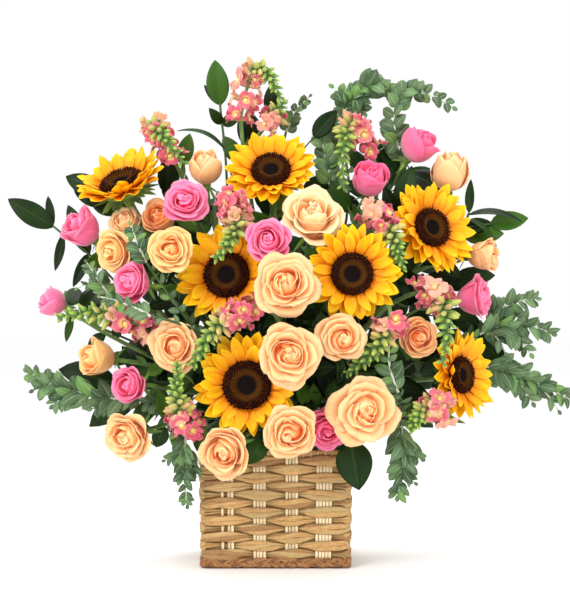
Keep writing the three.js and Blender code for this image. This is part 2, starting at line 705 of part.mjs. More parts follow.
// A leaf is one thin blade with edges, thickest along its rib. It starts at the origin, runs along
// X to its length, and arches towards Z.
function leafSolid(length, width, thick, arch, corners) {
  const geometry = new THREE.SphereGeometry(1, corners, 2);
  geometry.rotateX(Math.PI / 2).rotateZ(Math.PI);
  const position = geometry.getAttribute("position");
  for (let i = 0; i < position.count; i++) {
    const along = (1 - position.getX(i)) / 2;
    const across = -position.getY(i);
    const blunt = 1.1 - 0.2 * along;
    const bow = 4 * along * (1 - along) * arch;
    position.setXYZ(
      i,
      along * length,
      (across * blunt * width) / 2,
      bow + (position.getZ(i) * thick) / 2,
    );
  }
  return toSolid(geometry);
}

const LEAF_SUNK = 1; // how far a leaf's pointed root is sunk past the middle of its twig

function bladeMatrix(root, tip, normal) {
  const along = tip.clone().sub(root).normalize();
  const across = normal.clone().cross(along).normalize();
  const up = along.clone().cross(across);
  const start = root.clone().addScaledVector(along, -LEAF_SUNK);
  return new THREE.Matrix4().makeBasis(along, across, up).setPosition(start);
}

const TOWARDS_VIEWER = new THREE.Vector3(0, -1, 0);

// A leaf from root to tip, or nothing where it would cross what is already placed.
function leaf({ root, tip, width, arch, normal, owner, corners = 5, thick = 1.5, must = false }) {
  const length = root.distanceTo(tip);
  const matrix = bladeMatrix(root, tip, normal);
  const probes = [0.3, 0.55, 0.8, 1].flatMap((share) =>
    [-0.32, 0, 0.32].map((side) => {
      const spread = side * width * (share < 1 ? 1 : 0);
      const bow = 4 * share * (1 - share) * arch;
      return new THREE.Vector3(share * length, spread, bow).applyMatrix4(matrix);
    }),
  );
  const ball = 0.16 * width;
  if (!must && probes.some((probe) => roomAt(probe, ball, owner) < 0.5)) return null;
  for (const probe of probes) occupy(`${owner}_leaf`, probe, ball);
  return leafSolid(length, width, thick, arch, corners).transform([...matrix.elements]);
}

// ---------------------------------------------------------------- sprays

// Two directions square to a line at a share of its length.
function squareTo(curve, share) {
  const along = curve.getTangent(share);
  const side = along.clone().cross(TOWARDS_VIEWER);
  if (side.length() < 0.1) side.set(1, 0, 0);
  side.normalize();
  return { along, side, face: side.clone().cross(along).normalize() };
}

const RACEME = { floret: 27, bud: 15, tip: 8, whorl: 2.6, twist: 0.8 };
const SPRIG = { lean: 0.8, thick: 1.2, node: 1.4 };

function racemeCurve({ from, bend, tip }) {
  return new THREE.QuadraticBezierCurve3(place(from), place(bend), place(tip));
}

function occupyRaceme(owner, raceme) {
  const curve = racemeCurve(raceme);
  const steps = 10;
  for (let i = 0; i <= steps; i++) {
    const share = i / steps;
    const open = share < raceme.florets / (raceme.florets + raceme.buds);
    const reach = open ? 0.85 * RACEME.floret : mix(1.1 * RACEME.bud, RACEME.tip, share);
    occupy(owner, curve.getPoint(share), reach);
  }
}

// One closed surface: a square stem whose sides open at each node into what grows there. A growth is
// a list of square sections [reach, around, high] along the way it grows, and the reach of its end,
// which is a tip, or a hollow where it lies short of the last section.
function nodedStem(curve, { radius, twist, nodes }) {
  const length = curve.getLength();
  const position = [];
  const index = [];
  const point = (vector) => {
    position.push(...vector.toArray());
    return position.length / 3 - 1;
  };
  const ringAt = (share) =>
    [0.5, 1.5, 2.5, 3.5].map((quarters) => {
      const { out } = outward(curve, share, quarters + share * twist);
      return point(curve.getPoint(share).addScaledVector(out, 1.2 * radius));
    });
  const grow = (corners, share, { quarters, lean, sections, end }) => {
    const { along, out, around } = outward(curve, share, quarters + share * twist);
    out.addScaledVector(along, lean).normalize();
    const up = out.clone().cross(around);
    const root = curve.getPoint(share);
    const at = (reach) => root.clone().addScaledVector(out, reach);
    let ring = corners;
    for (const [reach, wide, high] of sections) {
      const next = [[-1, -1], [1, -1], [1, 1], [-1, 1]].map(([a, b]) =>
        point(at(reach).addScaledVector(around, (a * wide) / 2).addScaledVector(up, (b * high) / 2)),
      );
      stripBetween(index, ring, next);
      ring = next;
    }
    fanOver(index, ring, point(at(end)));
  };
  let ring = ringAt(0);
  fanOver(index, [...ring].reverse(), point(curve.getPoint(0)));
  for (const { share, half, growths } of nodes) {
    const lower = ringAt(share - half / length);
    const upper = ringAt(share + half / length);
    stripBetween(index, ring, lower);
    for (let j = 0; j < 4; j++) {
      const next = (j + 1) % 4;
      const corners = [lower[j], lower[next], upper[next], upper[j]];
      const growth = growths.find(({ quarters }) => quarters % 4 === next);
      if (growth) grow(corners, share, growth);
      else index.push(corners[0], corners[1], corners[2], corners[0], corners[2], corners[3]);
    }
    ring = upper;
  }
  fanOver(index, ring, point(curve.getPoint(1)));
  return closedSurface(position, index);
}

// The way out from a curve at a share of its length, some quarter turns round from its side.
function outward(curve, share, quarters) {
  const { along, side, face } = squareTo(curve, share);
  const angle = (quarters * Math.PI) / 2;
  const out = side.multiplyScalar(Math.cos(angle)).addScaledVector(face, -Math.sin(angle));
  return { along, out, around: along.clone().cross(out) };
}

// Whorls of two: open florets low down, then buds that shrink towards the tip.
function racemeSolid(raceme) {
  const curve = racemeCurve(raceme);
  const whorls = raceme.florets + raceme.buds;
  const nodes = Array.from({ length: whorls }, (_, whorl) => {
    const open = whorl < raceme.florets;
    const share = mix(0.04, 0.97, (whorl + 0.5) / whorls);
    const size = open ? RACEME.floret : mix(RACEME.bud, RACEME.tip, share);
    const shape = open
      ? { lean: 0.15, sections: [[0.72 * size, 0.92 * size, 0.92 * size]], end: 0.42 * size }
      : { lean: 0.6, sections: [[0.5 * size, 0.6 * size, 0.6 * size]], end: size };
    const growths = [whorl % 2, (whorl % 2) + 2].map((quarters) => ({ quarters, ...shape }));
    return { share, half: open ? RACEME.whorl : 0.7 * RACEME.whorl, growths };
  });
  return nodedStem(curve, { radius: STEM.snapdragon, twist: RACEME.twist, nodes });
}

// Pairs of leaves that shrink towards the tip. A leaf that would cross something is left out.
function sprigSolid(owner, sprig) {
  const curve = racemeCurve(sprig);
  const nodes = Array.from({ length: sprig.pairs }, (_, pair) => {
    const share = (pair + 0.6) / sprig.pairs;
    const size = sprig.leaf * mix(1, 0.45, share ** 1.6);
    const growths = [0, 2].filter((quarters) => {
      const { along, out } = outward(curve, share, quarters);
      out.addScaledVector(along, SPRIG.lean).normalize();
      const probes = [0.4, 0.7, 1].map((reach) =>
        curve.getPoint(share).addScaledVector(out, reach * size),
      );
      const ball = 0.3 * size;
      if (probes.some((probe) => roomAt(probe, ball, owner) < 0)) return false;
      for (const probe of probes) occupy(`${owner}_leaf`, probe, ball);
      return true;
    });
    const sections = [[0.5 * size, SPRIG.thick, 0.62 * size]];
    const shape = { lean: SPRIG.lean, sections, end: size };
    return { share, half: SPRIG.node, growths: growths.map((quarters) => ({ quarters, ...shape })) };
  });
  return nodedStem(curve, { radius: STEM.eucalyptus, twist: 0, nodes });
}

// The stem that carries a spray from its shank in the foam to where the spray starts.
function shank(foot) {
  return upright(foot, SHANK.radius, 5, FOOT, SHANK.top);
}

function carrier(foot, end, arrival, radius, owner) {
  const from = new THREE.Vector3(foot[0], foot[1], SHANK.top - 3);
  const curve = stemLine(from, end, arrival, { radius, owners: [owner] });
  occupyLine(owner, curve, STEM_STEPS, radius);
  return tube(curve, radius, 3, STEM_STEPS);
}

function snapdragonSpray(owner, { foot, racemes }) {
  const parts = [shank(foot)];
  for (const raceme of racemes) {
    const curve = racemeCurve(raceme);
    parts.push(carrier(foot, curve.getPoint(0.02), curve.getTangent(0), STEM.snapdragon, owner));
    parts.push(racemeSolid(raceme));
  }
  return fuse(parts);
}

function eucalyptusSpray(owner, { foot, sprigs }) {
  const parts = [shank(foot)];
  for (const sprig of sprigs) {
    const curve = racemeCurve(sprig);
    parts.push(carrier(foot, curve.getPoint(0.02), curve.getTangent(0), STEM.eucalyptus, owner));
    parts.push(sprigSolid(owner, sprig));
    occupyLine(owner, curve, sprig.pairs, STEM.eucalyptus);
  }
  return fuse(parts);
}

function twigCurve(points) {
  return new THREE.CatmullRomCurve3(points.map(place), false, "centripetal");
}

function nearest(point, candidates) {
  const distances = candidates.map((candidate) => candidate.distanceTo(point));
  return candidates[distances.indexOf(Math.min(...distances))];
}

function ruscusSpray(owner, { foot, twigs, leaves }) {
  const parts = [shank(foot)];
  const roots = [];
  if (FANS[owner]) parts.push(...fanParts(owner, foot, FANS[owner]));
  for (const points of twigs) {
    const curve = twigCurve(points);
    parts.push(carrier(foot, curve.getPoint(0), curve.getTangent(0), STEM.ruscus, owner));
    parts.push(tube(curve, STEM.ruscus, 3, 2 * points.length));
    occupyLine(owner, curve, 2 * points.length, STEM.ruscus);
    roots.push(...trail(curve, 2 * points.length, 1));
  }
  for (const { root, tip, width, arch } of leaves) {
    const [start, end] = [nearest(place(root), roots), place(tip)];
    const side = end.clone().sub(start).cross(TOWARDS_VIEWER).normalize();
    const sideways = side.multiplyScalar(Math.sign(side.z || 1));
    const normal = Math.abs(arch) > 7 ? sideways : TOWARDS_VIEWER.clone();
    const shape = { width, arch, normal: normal.addScaledVector(TOWARDS_VIEWER, 0.7), owner };
    parts.push(leaf({ root: start, tip: end, ...shape, corners: 8, thick: 1.8, must: true }));
  }
  return fuse(parts.filter(Boolean));
}

// Long branches that fan out from one foot, with leaves to the left and right in turn and one at the
// tip. Each leaf is turned a little its own way.
function fanParts(owner, foot, { branches, spread, reach, lean, leaves, leaf: size, width }) {
  const parts = [];
  const draw = randomDraw(7);
  const steps = 6;
  for (let i = 0; i < branches; i++) {
    const across = radians(mix(-spread, spread, i / (branches - 1)));
    const back = Math.sin(radians(lean));
    const out = new THREE.Vector3(Math.sin(across), back, Math.cos(across)).normalize();
    const from = new THREE.Vector3(foot[0], foot[1], SHANK.top - 3);
    const end = from.clone().addScaledVector(out, reach * (1 - 0.2 * Math.abs(Math.sin(across))));
    const curve = stemLine(from, end, out, { radius: STEM.ruscus, owners: [owner] });
    occupyLine(owner, curve, steps, STEM.ruscus);
    parts.push(tube(curve, STEM.ruscus, 3, steps));
    for (let j = 0; j <= leaves; j++) {
      const share = mix(0.3, 0.98, j / leaves);
      const along = curve.getTangent(share);
      const side = new THREE.Vector3(0, 1, 0).cross(along).normalize();
      const hand = j === leaves ? 0 : 0.9 * (j % 2 ? 1 : -1);
      const way = along.addScaledVector(side, hand).addScaledVector(TOWARDS_VIEWER, 0.25 * draw());
      const root = tubePoint(curve, steps, share);
      const length = size * (1 + 0.15 * draw());
      const tip = root.clone().addScaledVector(way.normalize(), length);
      const normal = new THREE.Vector3(0.4 * draw(), -1, 0.5 * draw());
      parts.push(leaf({ root, tip, width, arch: 7 * draw(), normal, owner, corners: 6, thick: 1.8 }));
    }
  }
  return parts;
}

// ---------------------------------------------------------------- assembly

const group = new THREE.Group();

function add(name, solid, color, roughness = 0.7) {
  const material = new THREE.MeshStandardMaterial({ color, roughness, metalness: 0 });
  const mesh = new THREE.Mesh(toGeometry(solid), material);
  mesh.name = name;
  group.add(mesh);
}

const SPRAYS = { ...SNAPDRAGONS, ...EUCALYPTUS, ...RUSCUS };
const FEET = Object.values(SPRAYS).map((spray) => spray.foot);

add("basket_weave", basketWeave(), COLOURS.reed);
add("basket_border", basketBand(0, BASKET.borderHeight - GAP), COLOURS.border);
add("basket_rim", basketBand(BASKET.height - BASKET.rimHeight + GAP, BASKET.height), COLOURS.reed);
add("liner", liner(), COLOURS.liner, 0.35);
add("foam", foam(FEET), COLOURS.foam, 0.95);

// Each head is placed first, then the stems are led to it from the foam.
const flowerStems = [upright([0, 0], BUNDLE.radius, 8, FOOT, BUNDLE.top)];
const heads = [];

function head(name, bloom, backOff, stem) {
  const { out, turn } = facing(bloom);
  const base = place(bloom.at).addScaledVector(out, -backOff);
  heads.push({ name, base, out, turn, ...stem });
  return { turn, base, out };
}

SUNFLOWERS.forEach((bloom, i) => {
  const name = `sunflower_${i + 1}`;
  const bracts = { points: 9, reach: bloom.disc * 1.5, back: 7, thick: 8 };
  const stem = { radius: STEM.sunflower, sides: 4, lower: SUN_ROWS_APART + SUN_HUB, ...bracts };
  const { turn, base, out } = head(`${name}_petals`, bloom, SUN_HUB, stem);
  add(`${name}_petals`, placedSolid(sunflowerPetals(bloom, 11 + i), turn, base), COLOURS.sunPetal);
  add(`${name}_disc`, placedSolid(sunflowerDisc(bloom), turn, base), COLOURS.sunDisc, 0.9);
  for (const [share, count] of [[0, 1], [0.4, 7], [0.8, 14]])
    for (let j = 0; j < count; j++) {
      const angle = (j * 2 * Math.PI) / count;
      const spot = new THREE.Vector3(Math.cos(angle), Math.sin(angle), 0.3 * share);
      spot.multiplyScalar(share * bloom.radius).applyMatrix4(turn).add(base).addScaledVector(out, 3);
      occupy(`${name}_petals`, spot, 12);
    }
});

function roses(kind, blooms, color) {
  blooms.forEach((bloom, i) => {
    const name = `${kind}_${i + 1}`;
    const height = roseHeight(bloom);
    const sepals = { points: 5, reach: bloom.radius * 0.55, back: 6, thick: 6 };
    const stem = { radius: STEM.rose, sides: 3, lower: 0, ...sepals };
    const { turn, base, out } = head(name, bloom, 0.5 * height, stem);
    add(name, placedSolid(rose(bloom, 31 + i), turn, base), color);
    const middle = base.clone().addScaledVector(out, 0.58 * height);
    occupy(name, middle, bloom.radius * mix(0.98, 0.9, bloom.open));
    occupy(name, base.clone().addScaledVector(out, 0.3 * height), bloom.radius * 0.72);
  });
}
roses("rose_peach", PEACH_ROSES, COLOURS.peach);
roses("rose_pink", PINK_ROSES, COLOURS.pink);

for (const [owner, { racemes }] of Object.entries(SNAPDRAGONS))
  for (const raceme of racemes) occupyRaceme(owner, raceme);

heads.forEach(({ name, base, lower, ...stem }, i) => {
  const { out, radius, thick } = stem;
  const spread = new THREE.Vector2(base.x / 220, (base.z - 330) / 170).clampLength(0, 1);
  spread.multiplyScalar(BUNDLE.radius - radius - 1);
  const from = new THREE.Vector3(spread.x, spread.y, BUNDLE.top - 4 - 0.1 * i);
  const top = base.clone().addScaledVector(out, -lower);
  const end = top.clone().addScaledVector(out, -GAP - thick);
  const own = `flower_stem_${i}`;
  const curve = stemLine(from, end, out, { radius, owners: [own, name], nearFoot: 34 });
  occupyLine(own, curve, STEM_STEPS, radius);
  flowerStems.push(bloomStem(curve, { base: top, ...stem }));
});
add("flower_stems", fuse(flowerStems, 0.1), COLOURS.stem);

for (const [name, spray] of Object.entries(SNAPDRAGONS))
  add(name, snapdragonSpray(name, spray), COLOURS.snapdragon);
for (const [name, spray] of Object.entries(RUSCUS))
  add(name, ruscusSpray(name, spray), COLOURS.ruscus, 0.4);
for (const [name, spray] of Object.entries(EUCALYPTUS))
  add(name, eucalyptusSpray(name, spray), COLOURS.eucalyptus);

export default group;
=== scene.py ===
# %% [markdown]
# # A woven basket of sunflowers, roses, snapdragons and greenery
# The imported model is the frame: it says where every bloom, leaf and stem is. This lesson dresses
# that frame, one kind of piece after another, and each new piece stands where its plain solid stood.
# Blender works in metres. The lesson thinks in millimetres, because petals are small, and changes
# to metres once, when a piece is finished.

# %% Load the frame
import math
import random

import bmesh
import bpy
import numpy as np
from mathutils import Matrix, Quaternion, Vector


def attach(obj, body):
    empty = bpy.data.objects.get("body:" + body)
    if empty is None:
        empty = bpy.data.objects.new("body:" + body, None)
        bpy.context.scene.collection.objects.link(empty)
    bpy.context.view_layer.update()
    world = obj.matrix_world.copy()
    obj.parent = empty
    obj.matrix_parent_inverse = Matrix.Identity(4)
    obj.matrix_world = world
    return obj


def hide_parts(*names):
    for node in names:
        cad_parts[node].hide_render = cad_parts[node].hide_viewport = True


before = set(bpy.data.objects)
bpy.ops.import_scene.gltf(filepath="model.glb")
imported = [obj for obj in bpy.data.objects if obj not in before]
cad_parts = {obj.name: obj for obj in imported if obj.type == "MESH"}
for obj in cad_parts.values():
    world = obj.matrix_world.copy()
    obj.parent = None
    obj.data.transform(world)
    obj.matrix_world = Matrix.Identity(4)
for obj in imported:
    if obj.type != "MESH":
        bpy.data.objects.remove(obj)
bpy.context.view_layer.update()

MM = 0.001

# %% [markdown]
# ## Camera
# The arrangement was seen from the front, level with its middle and from about two metres, with a
# long lens. A place in the bouquet is therefore given as [across, down, out]: where it is in that
# view, and how many millimetres it stands in front of the middle of the basket.

# %% Camera and places
VIEW = {"middle": (285, 302.5), "distance": 2200, "mm_per_pixel": 1.352, "height": 346.4, "aside": 12.3}
PICTURE = (570, 605)


def place(across, down, out):
    scale = VIEW["mm_per_pixel"] * (VIEW["distance"] - out) / VIEW["distance"]
    x = VIEW["aside"] + (across - VIEW["middle"][0]) * scale
    return Vector((x, -out, VIEW["height"] + (VIEW["middle"][1] - down) * scale))


camera = bpy.data.objects.new("camera", bpy.data.cameras.new("camera"))
bpy.context.scene.collection.objects.link(camera)
camera.location = Vector((VIEW["aside"], -VIEW["distance"], VIEW["height"])) * MM
camera.rotation_euler = (math.pi / 2, 0, 0)
camera.data.sensor_width = 36
camera.data.lens = 36 * VIEW["distance"] / (PICTURE[1] * VIEW["mm_per_pixel"])
camera.data.clip_end = 50
bpy.context.scene.camera = camera
print("lens", round(camera.data.lens, 1), "mm")

# %% [markdown]
# ## Where everything is
# The same tables as in the part's source. yaw turns a bloom to the viewer's right and pitch lifts
# its face, in degrees. open runs from 0, a closed bud, to 1, a full rose.

# %% Tables of blooms
SUNFLOWERS = [
    {"at": (122, 184, 15), "radius": 64, "disc": 30, "yaw": -30, "pitch": 54, "cup": 14},
    {"at": (271, 171, 30), "radius": 60, "disc": 27, "yaw": -3, "pitch": 34, "cup": 6},
    {"at": (227, 275, 78), "radius": 66, "disc": 31, "yaw": -10, "pitch": 10},
    {"at": (352, 274, 112), "radius": 62, "disc": 28, "yaw": 6, "pitch": 0},
    {"at": (431, 228, 45), "radius": 62, "disc": 27, "yaw": 30, "pitch": 14},
    {"at": (247, 385, 118), "radius": 65, "disc": 32, "yaw": -4, "pitch": 1},
    {"at": (460, 375, 60), "radius": 60, "disc": 25, "yaw": 50, "pitch": 6},
]


def rose_table(*rows):
    names = ("at", "radius", "open", "yaw", "pitch", "finish")
    return [dict(zip(names, row)) for row in rows]


PEACH_ROSES = rose_table(
    ((205, 168, 15), 23, 0.0, -10, 66, "apricot"),
    ((312, 219, 92), 42, 0.85, 4, 32, "cream"),
    ((172, 251, 110), 30, 0.7, -4, 8, "honey"),
    ((116, 249, 70), 29, 0.7, -34, -12, "honey"),
    ((286, 285, 160), 40, 1.0, 0, 10, "apricot"),
    ((289, 355, 176), 41, 1.0, 2, 4, "apricot"),
    ((341, 339, 142), 32, 0.75, 8, 4, "apricot"),
    ((177, 347, 92), 34, 0.8, -14, 4, "apricot"),
    ((98, 358, 42), 27, 0.3, -52, 6, "honey"),
    ((131, 436, 105), 34, 0.8, -26, -8, "apricot"),
    ((227, 450, 152), 34, 0.6, -16, -10, "apricot"),
    ((290, 430, 166), 36, 0.8, 2, -4, "apricot"),
    ((363, 411, 153), 43, 1.0, 8, 0, "apricot"),
    ((417, 338, 92), 27, 0.6, 10, 4, "tangerine"),
    ((450, 172, 5), 27, 0.0, 20, 74, "apricot"),
    ((483, 256, 18), 25, 0.3, 62, 0, "apricot"),
    ((160, 218, 30), 25, 0.4, -14, 20, "tangerine"),
    ((127, 224, 22), 23, 0.5, -24, 24, "cream"),
)
PINK_ROSES = rose_table(
    ((186, 203, 76), 31, 0.8, -4, 16, "pink"),
    ((82, 229, 22), 28, 0.3, -52, 34, "pink"),
    ((268, 242, 131), 30, 0.7, -2, 12, "pink"),
    ((135, 283, 96), 28, 0.6, -38, 6, "pink"),
    ((53, 302, 12), 20, 0.2, -78, 26, "pink"),
    ((132, 385, 80), 26, 0.5, -30, 2, "pink"),
    ((370, 180, 48), 26, 0.3, 10, 52, "blush"),
    ((419, 146, 0), 26, 0.2, 62, 44, "blush"),
    ((473, 298, 30), 30, 0.6, 72, 8, "pink"),
    ((326, 428, 112), 29, 0.6, 4, -6, "pink"),
)
print(len(SUNFLOWERS), "sunflowers,", len(PEACH_ROSES), "peach and", len(PINK_ROSES), "pink roses")

# %% Tables of sprays
# A raceme or sprig runs from its start, past a bend, to its tip: the two numbers after those
# places are its open and closed whorls, or its leaf length and pairs of leaves.
SNAPDRAGONS = {
    "snapdragon_top": {
        "foot": (-28, 42),
        "racemes": [
            ((240, 122, 0), (253, 32, 8), (281, 98, 22), 2, 3),
            ((264, 128, -14), (272, 118, -10), (284, 102, -6), 1, 1),
            ((372, 152, 5), (338, 88, 20), (344, 190, 62), 2, 3),
        ],
    },
    "snapdragon_left": {
        "foot": (-64, 8),
        "racemes": [
            ((174, 158, -6), (132, 94, 8), (184, 163, 36), 2, 3),
            ((152, 334, 62), (112, 302, 66), (58, 318, 30), 2, 3),
            ((192, 428, 118), (172, 420, 146), (178, 364, 140), 2, 3),
        ],
    },
    "snapdragon_centre": {
        "foot": (-34, -46),
        "racemes": [
            ((228, 196, 78), (252, 222, 108), (216, 258, 128), 2, 3),
            ((256, 308, 128), (216, 312, 146), (193, 366, 132), 2, 3),
        ],
    },
    "snapdragon_right": {
        "foot": (62, -10),
        "racemes": [
            ((372, 212, 70), (394, 222, 106), (402, 268, 114), 2, 3),
            ((418, 292, 84), (458, 286, 118), (443, 364, 134), 2, 3),
            ((391, 316, 126), (388, 344, 136), (347, 374, 132), 1, 3),
            ((446, 410, 112), (428, 400, 128), (411, 428, 130), 2, 3),
        ],
    },
}
EUCALYPTUS = {
    "eucalyptus_left": {
        "foot": (-60, -40),
        "sprigs": [
            ((126, 400, 34), (76, 398, 34), (29, 372, 16), 27, 4),
            ((108, 294, 50), (98, 280, 46), (87, 263, 34), 18, 2),
            ((150, 316, 118), (128, 302, 116), (101, 297, 96), 17, 2),
            ((186, 436, 108), (182, 470, 116), (187, 504, 112), 20, 3),
            ((146, 262, 104), (138, 246, 110), (131, 226, 104), 19, 2),
        ],
    },
    "eucalyptus_top": {
        "foot": (26, 46),
        "sprigs": [
            ((346, 160, -18), (332, 100, -16), (370, 84, -12), 26, 3),
            ((402, 168, -22), (374, 55, -22), (452, 107, -18), 25, 4),
            ((286, 132, -40), (292, 112, -40), (309, 97, -38), 16, 2),
            ((330, 184, 4), (328, 158, 2), (318, 131, 0), 24, 2),
        ],
    },
    "eucalyptus_right": {
        "foot": (60, 32),
        "sprigs": [
            ((486, 322, -12), (504, 300, -14), (536, 299, -18), 23, 3),
            ((480, 334, 4), (512, 316, 0), (551, 333, -8), 27, 3),
            ((484, 366, 8), (520, 372, 4), (569, 399, -6), 27, 4),
            ((402, 426, 108), (406, 458, 116), (398, 495, 112), 26, 3),
            ((398, 392, 118), (384, 362, 128), (391, 338, 124), 20, 2),
        ],
    },
}
# A leaf is its root, its tip, its width and how far it arches.
RUSCUS = {
    "ruscus_left": {
        "foot": (-62, 40),
        "twigs": [
            [(128, 296, -14), (88, 253, 0), (64, 235, 4), (53, 226, 4)],
            [(120, 336, -8), (72, 316, -4)],
        ],
        "leaves": [
            ((54, 227, 4), (8, 199, 8), 31, 6),
            ((53, 226, 4), (48, 196, -8), 12, 3),
            ((63, 234, 4), (55, 271, 10), 13, -5),
            ((88, 253, 0), (73, 287, 8), 15, -3),
            ((90, 255, 0), (68, 205, -20), 26, 4),
            ((72, 316, -4), (66, 342, 2), 11, 2),
        ],
    },
    "ruscus_top": {
        "foot": (-6, 52),
        "twigs": [[(228, 205, -26), (225, 150, -22), (221, 115, -20), (220, 103, -20)]],
        "leaves": [
            ((220, 106, -20), (215, 60, -22), 31, 4),
            ((220, 105, -20), (204, 85, -26), 11, 2),
            ((222, 124, -20), (209, 108, -4), 15, 2),
            ((222, 124, -20), (241, 116, -8), 17, 2),
            ((225, 150, -22), (177, 131, -16), 12, 12),
            ((225, 152, -22), (243, 147, -24), 13, 2),
        ],
    },
    "ruscus_right": {
        "foot": (66, 48),
        "twigs": [[(452, 244, -26), (466, 220, -12), (469, 213, -10)]],
        "leaves": [
            ((469, 215, -10), (522, 222, -4), 19, 9),
            ((469, 213, -10), (471, 179, -14), 13, -4),
            ((467, 219, -10), (497, 249, -2), 15, 8),
        ],
    },
    "ruscus_front": {
        "foot": (56, -56),
        "twigs": [
            [(332, 446, 96), (350, 440, 112)],
            [(270, 446, 92), (262, 440, 104)],
            [(380, 262, 10), (398, 214, 4)],
        ],
        "leaves": [
            ((350, 440, 112), (359, 490, 120), 47, 6),
            ((262, 440, 104), (248, 464, 112), 28, 4),
            ((398, 214, 4), (412, 166, -2), 30, 4),
            ((396, 220, 4), (384, 186, 12), 22, 4),
        ],
    },
    "ruscus_back": {"foot": (0, 60), "twigs": [], "leaves": []},
}
FANS = {
    "ruscus_front": {"branches": 5, "spread": 52, "reach": 205, "lean": 5, "leaves": 2, "leaf": 66, "width": 34},
    "ruscus_back": {"branches": 7, "spread": 74, "reach": 300, "lean": 9, "leaves": 5, "leaf": 82, "width": 40},
}
print(len(SNAPDRAGONS) + len(EUCALYPTUS) + len(RUSCUS), "sprays")

# %% [markdown]
# ## Lines through the bouquet
# A florist leads each stem past the others to its place. The frame did that with balls: what is
# placed leaves a trail of balls, and a later stem takes the smallest bow that misses them. The same
# rule is followed here, so that every round stem runs inside its faceted one.

# %% Curves
TOWARDS_VIEWER = Vector((0, -1, 0))
GOLDEN_TURN = math.pi * (3 - math.sqrt(5))


def mix(a, b, share):
    return a + (b - a) * share


def smooth(low, high, x):
    share = min(1.0, max(0.0, (x - low) / (high - low)))
    return share * share * (3 - 2 * share)


def polar(theta, out, up=0.0):
    return Vector((out * math.cos(theta), out * math.sin(theta), up))


def bezier(*controls):
    """A curve is a function that turns shares of its run, 0 to 1, into an array of places."""
    order = len(controls) - 1

    def curve(shares):
        t = np.atleast_1d(np.asarray(shares, float))[:, None]
        weights = [math.comb(order, k) * t**k * (1 - t) ** (order - k) for k in range(order + 1)]
        return sum(weight * np.array(control)[None, :] for weight, control in zip(weights, controls))

    return curve


def spline(*points):
    """A curve through its points, with their distances' square roots as its knots."""
    points = [Vector(p) for p in points]
    points = [2 * points[0] - points[1], *points, 2 * points[-1] - points[-2]]

    def curve(shares):
        places = []
        for share in np.atleast_1d(shares):
            run = min(len(points) - 4, int(share * (len(points) - 3)))
            t = share * (len(points) - 3) - run
            p0, p1, p2, p3 = points[run : run + 4]
            d0, d1, d2 = math.sqrt((p1 - p0).length), math.sqrt((p2 - p1).length), math.sqrt((p3 - p2).length)
            m1 = ((p1 - p0) / d0 - (p2 - p0) / (d0 + d1) + (p2 - p1) / d1) * d1
            m2 = ((p2 - p1) / d1 - (p3 - p1) / (d1 + d2) + (p3 - p2) / d2) * d1
            cubic = 2 * p1 - 2 * p2 + m1 + m2
            places.append(p1 + m1 * t + (3 * p2 - 3 * p1 - 2 * m1 - m2) * t * t + cubic * t**3)
        return np.array(places)

    return curve


def point_on(curve, share):
    return Vector(curve(share)[0])


def tangent_on(curve, share):
    near, far = max(0.0, share - 1e-4), min(1.0, share + 1e-4)
    return (point_on(curve, far) - point_on(curve, near)).normalized()


def spaced(curve, steps):
    """Places at equal lengths along the curve."""
    shares = np.linspace(0, 1, 201)
    places = curve(shares)
    lengths = np.concatenate([[0], np.cumsum(np.linalg.norm(np.diff(places, axis=0), axis=1))])
    return curve(np.interp(np.linspace(0, lengths[-1], steps + 1), lengths, shares))


def trail(corners, spacing):
    """Points along the straight runs between the corners."""
    points = [corners[0]]
    for a, b in zip(corners[:-1], corners[1:]):
        count = math.ceil(np.linalg.norm(b - a) / spacing)
        points += [a + (b - a) * j / count for j in range(1, count + 1)]
    return np.array(points)


# %% Balls, and the stems that bow round them
BASKET = {"width": 200, "depth": 170, "height": 155, "taper": 0.97, "border": 13, "rim": 9, "rows": 12}
FOAM_HALF = (85.8, 71.25)
FOAM_TOP, FOOT, BUNDLE_RADIUS, STEM_TOP = 162, 100, 24, 169
STEM = {"sunflower": 5.5, "rose": 3.0, "snapdragon": 2.4, "eucalyptus": 1.5, "ruscus": 1.4}
STEM_STEPS = 4
BOWS, BOW_TURNS = (0, 12, 24, 36, 50, 66, 84), 12
ball_owner, ball_centre, ball_radius = [], [], []


def occupy(owner, centre, radius):
    ball_owner.append(owner)
    ball_centre.append(tuple(centre))
    ball_radius.append(radius)


def room_at_basket(points):
    def beside(half, top):
        across = np.abs(points[:, 0]) - half[0]
        return np.maximum(np.maximum(across, np.abs(points[:, 1]) - half[1]), points[:, 2] - top)

    rim = beside((BASKET["width"] / 2, BASKET["depth"] / 2), BASKET["height"])
    return np.minimum(rim, beside(FOAM_HALF, FOAM_TOP))


def rooms(points, radius, owners):
    """The room round each point, past every ball that isn't one of the owners'."""
    points = np.atleast_2d(points)
    keep = np.array([owner not in owners for owner in ball_owner])
    centres, radii = np.array(ball_centre)[keep], np.array(ball_radius)[keep]
    away = np.linalg.norm(points[:, None, :] - centres[None, :, :], axis=2) - radii[None, :]
    return np.minimum(away.min(axis=1), room_at_basket(points)) - radius


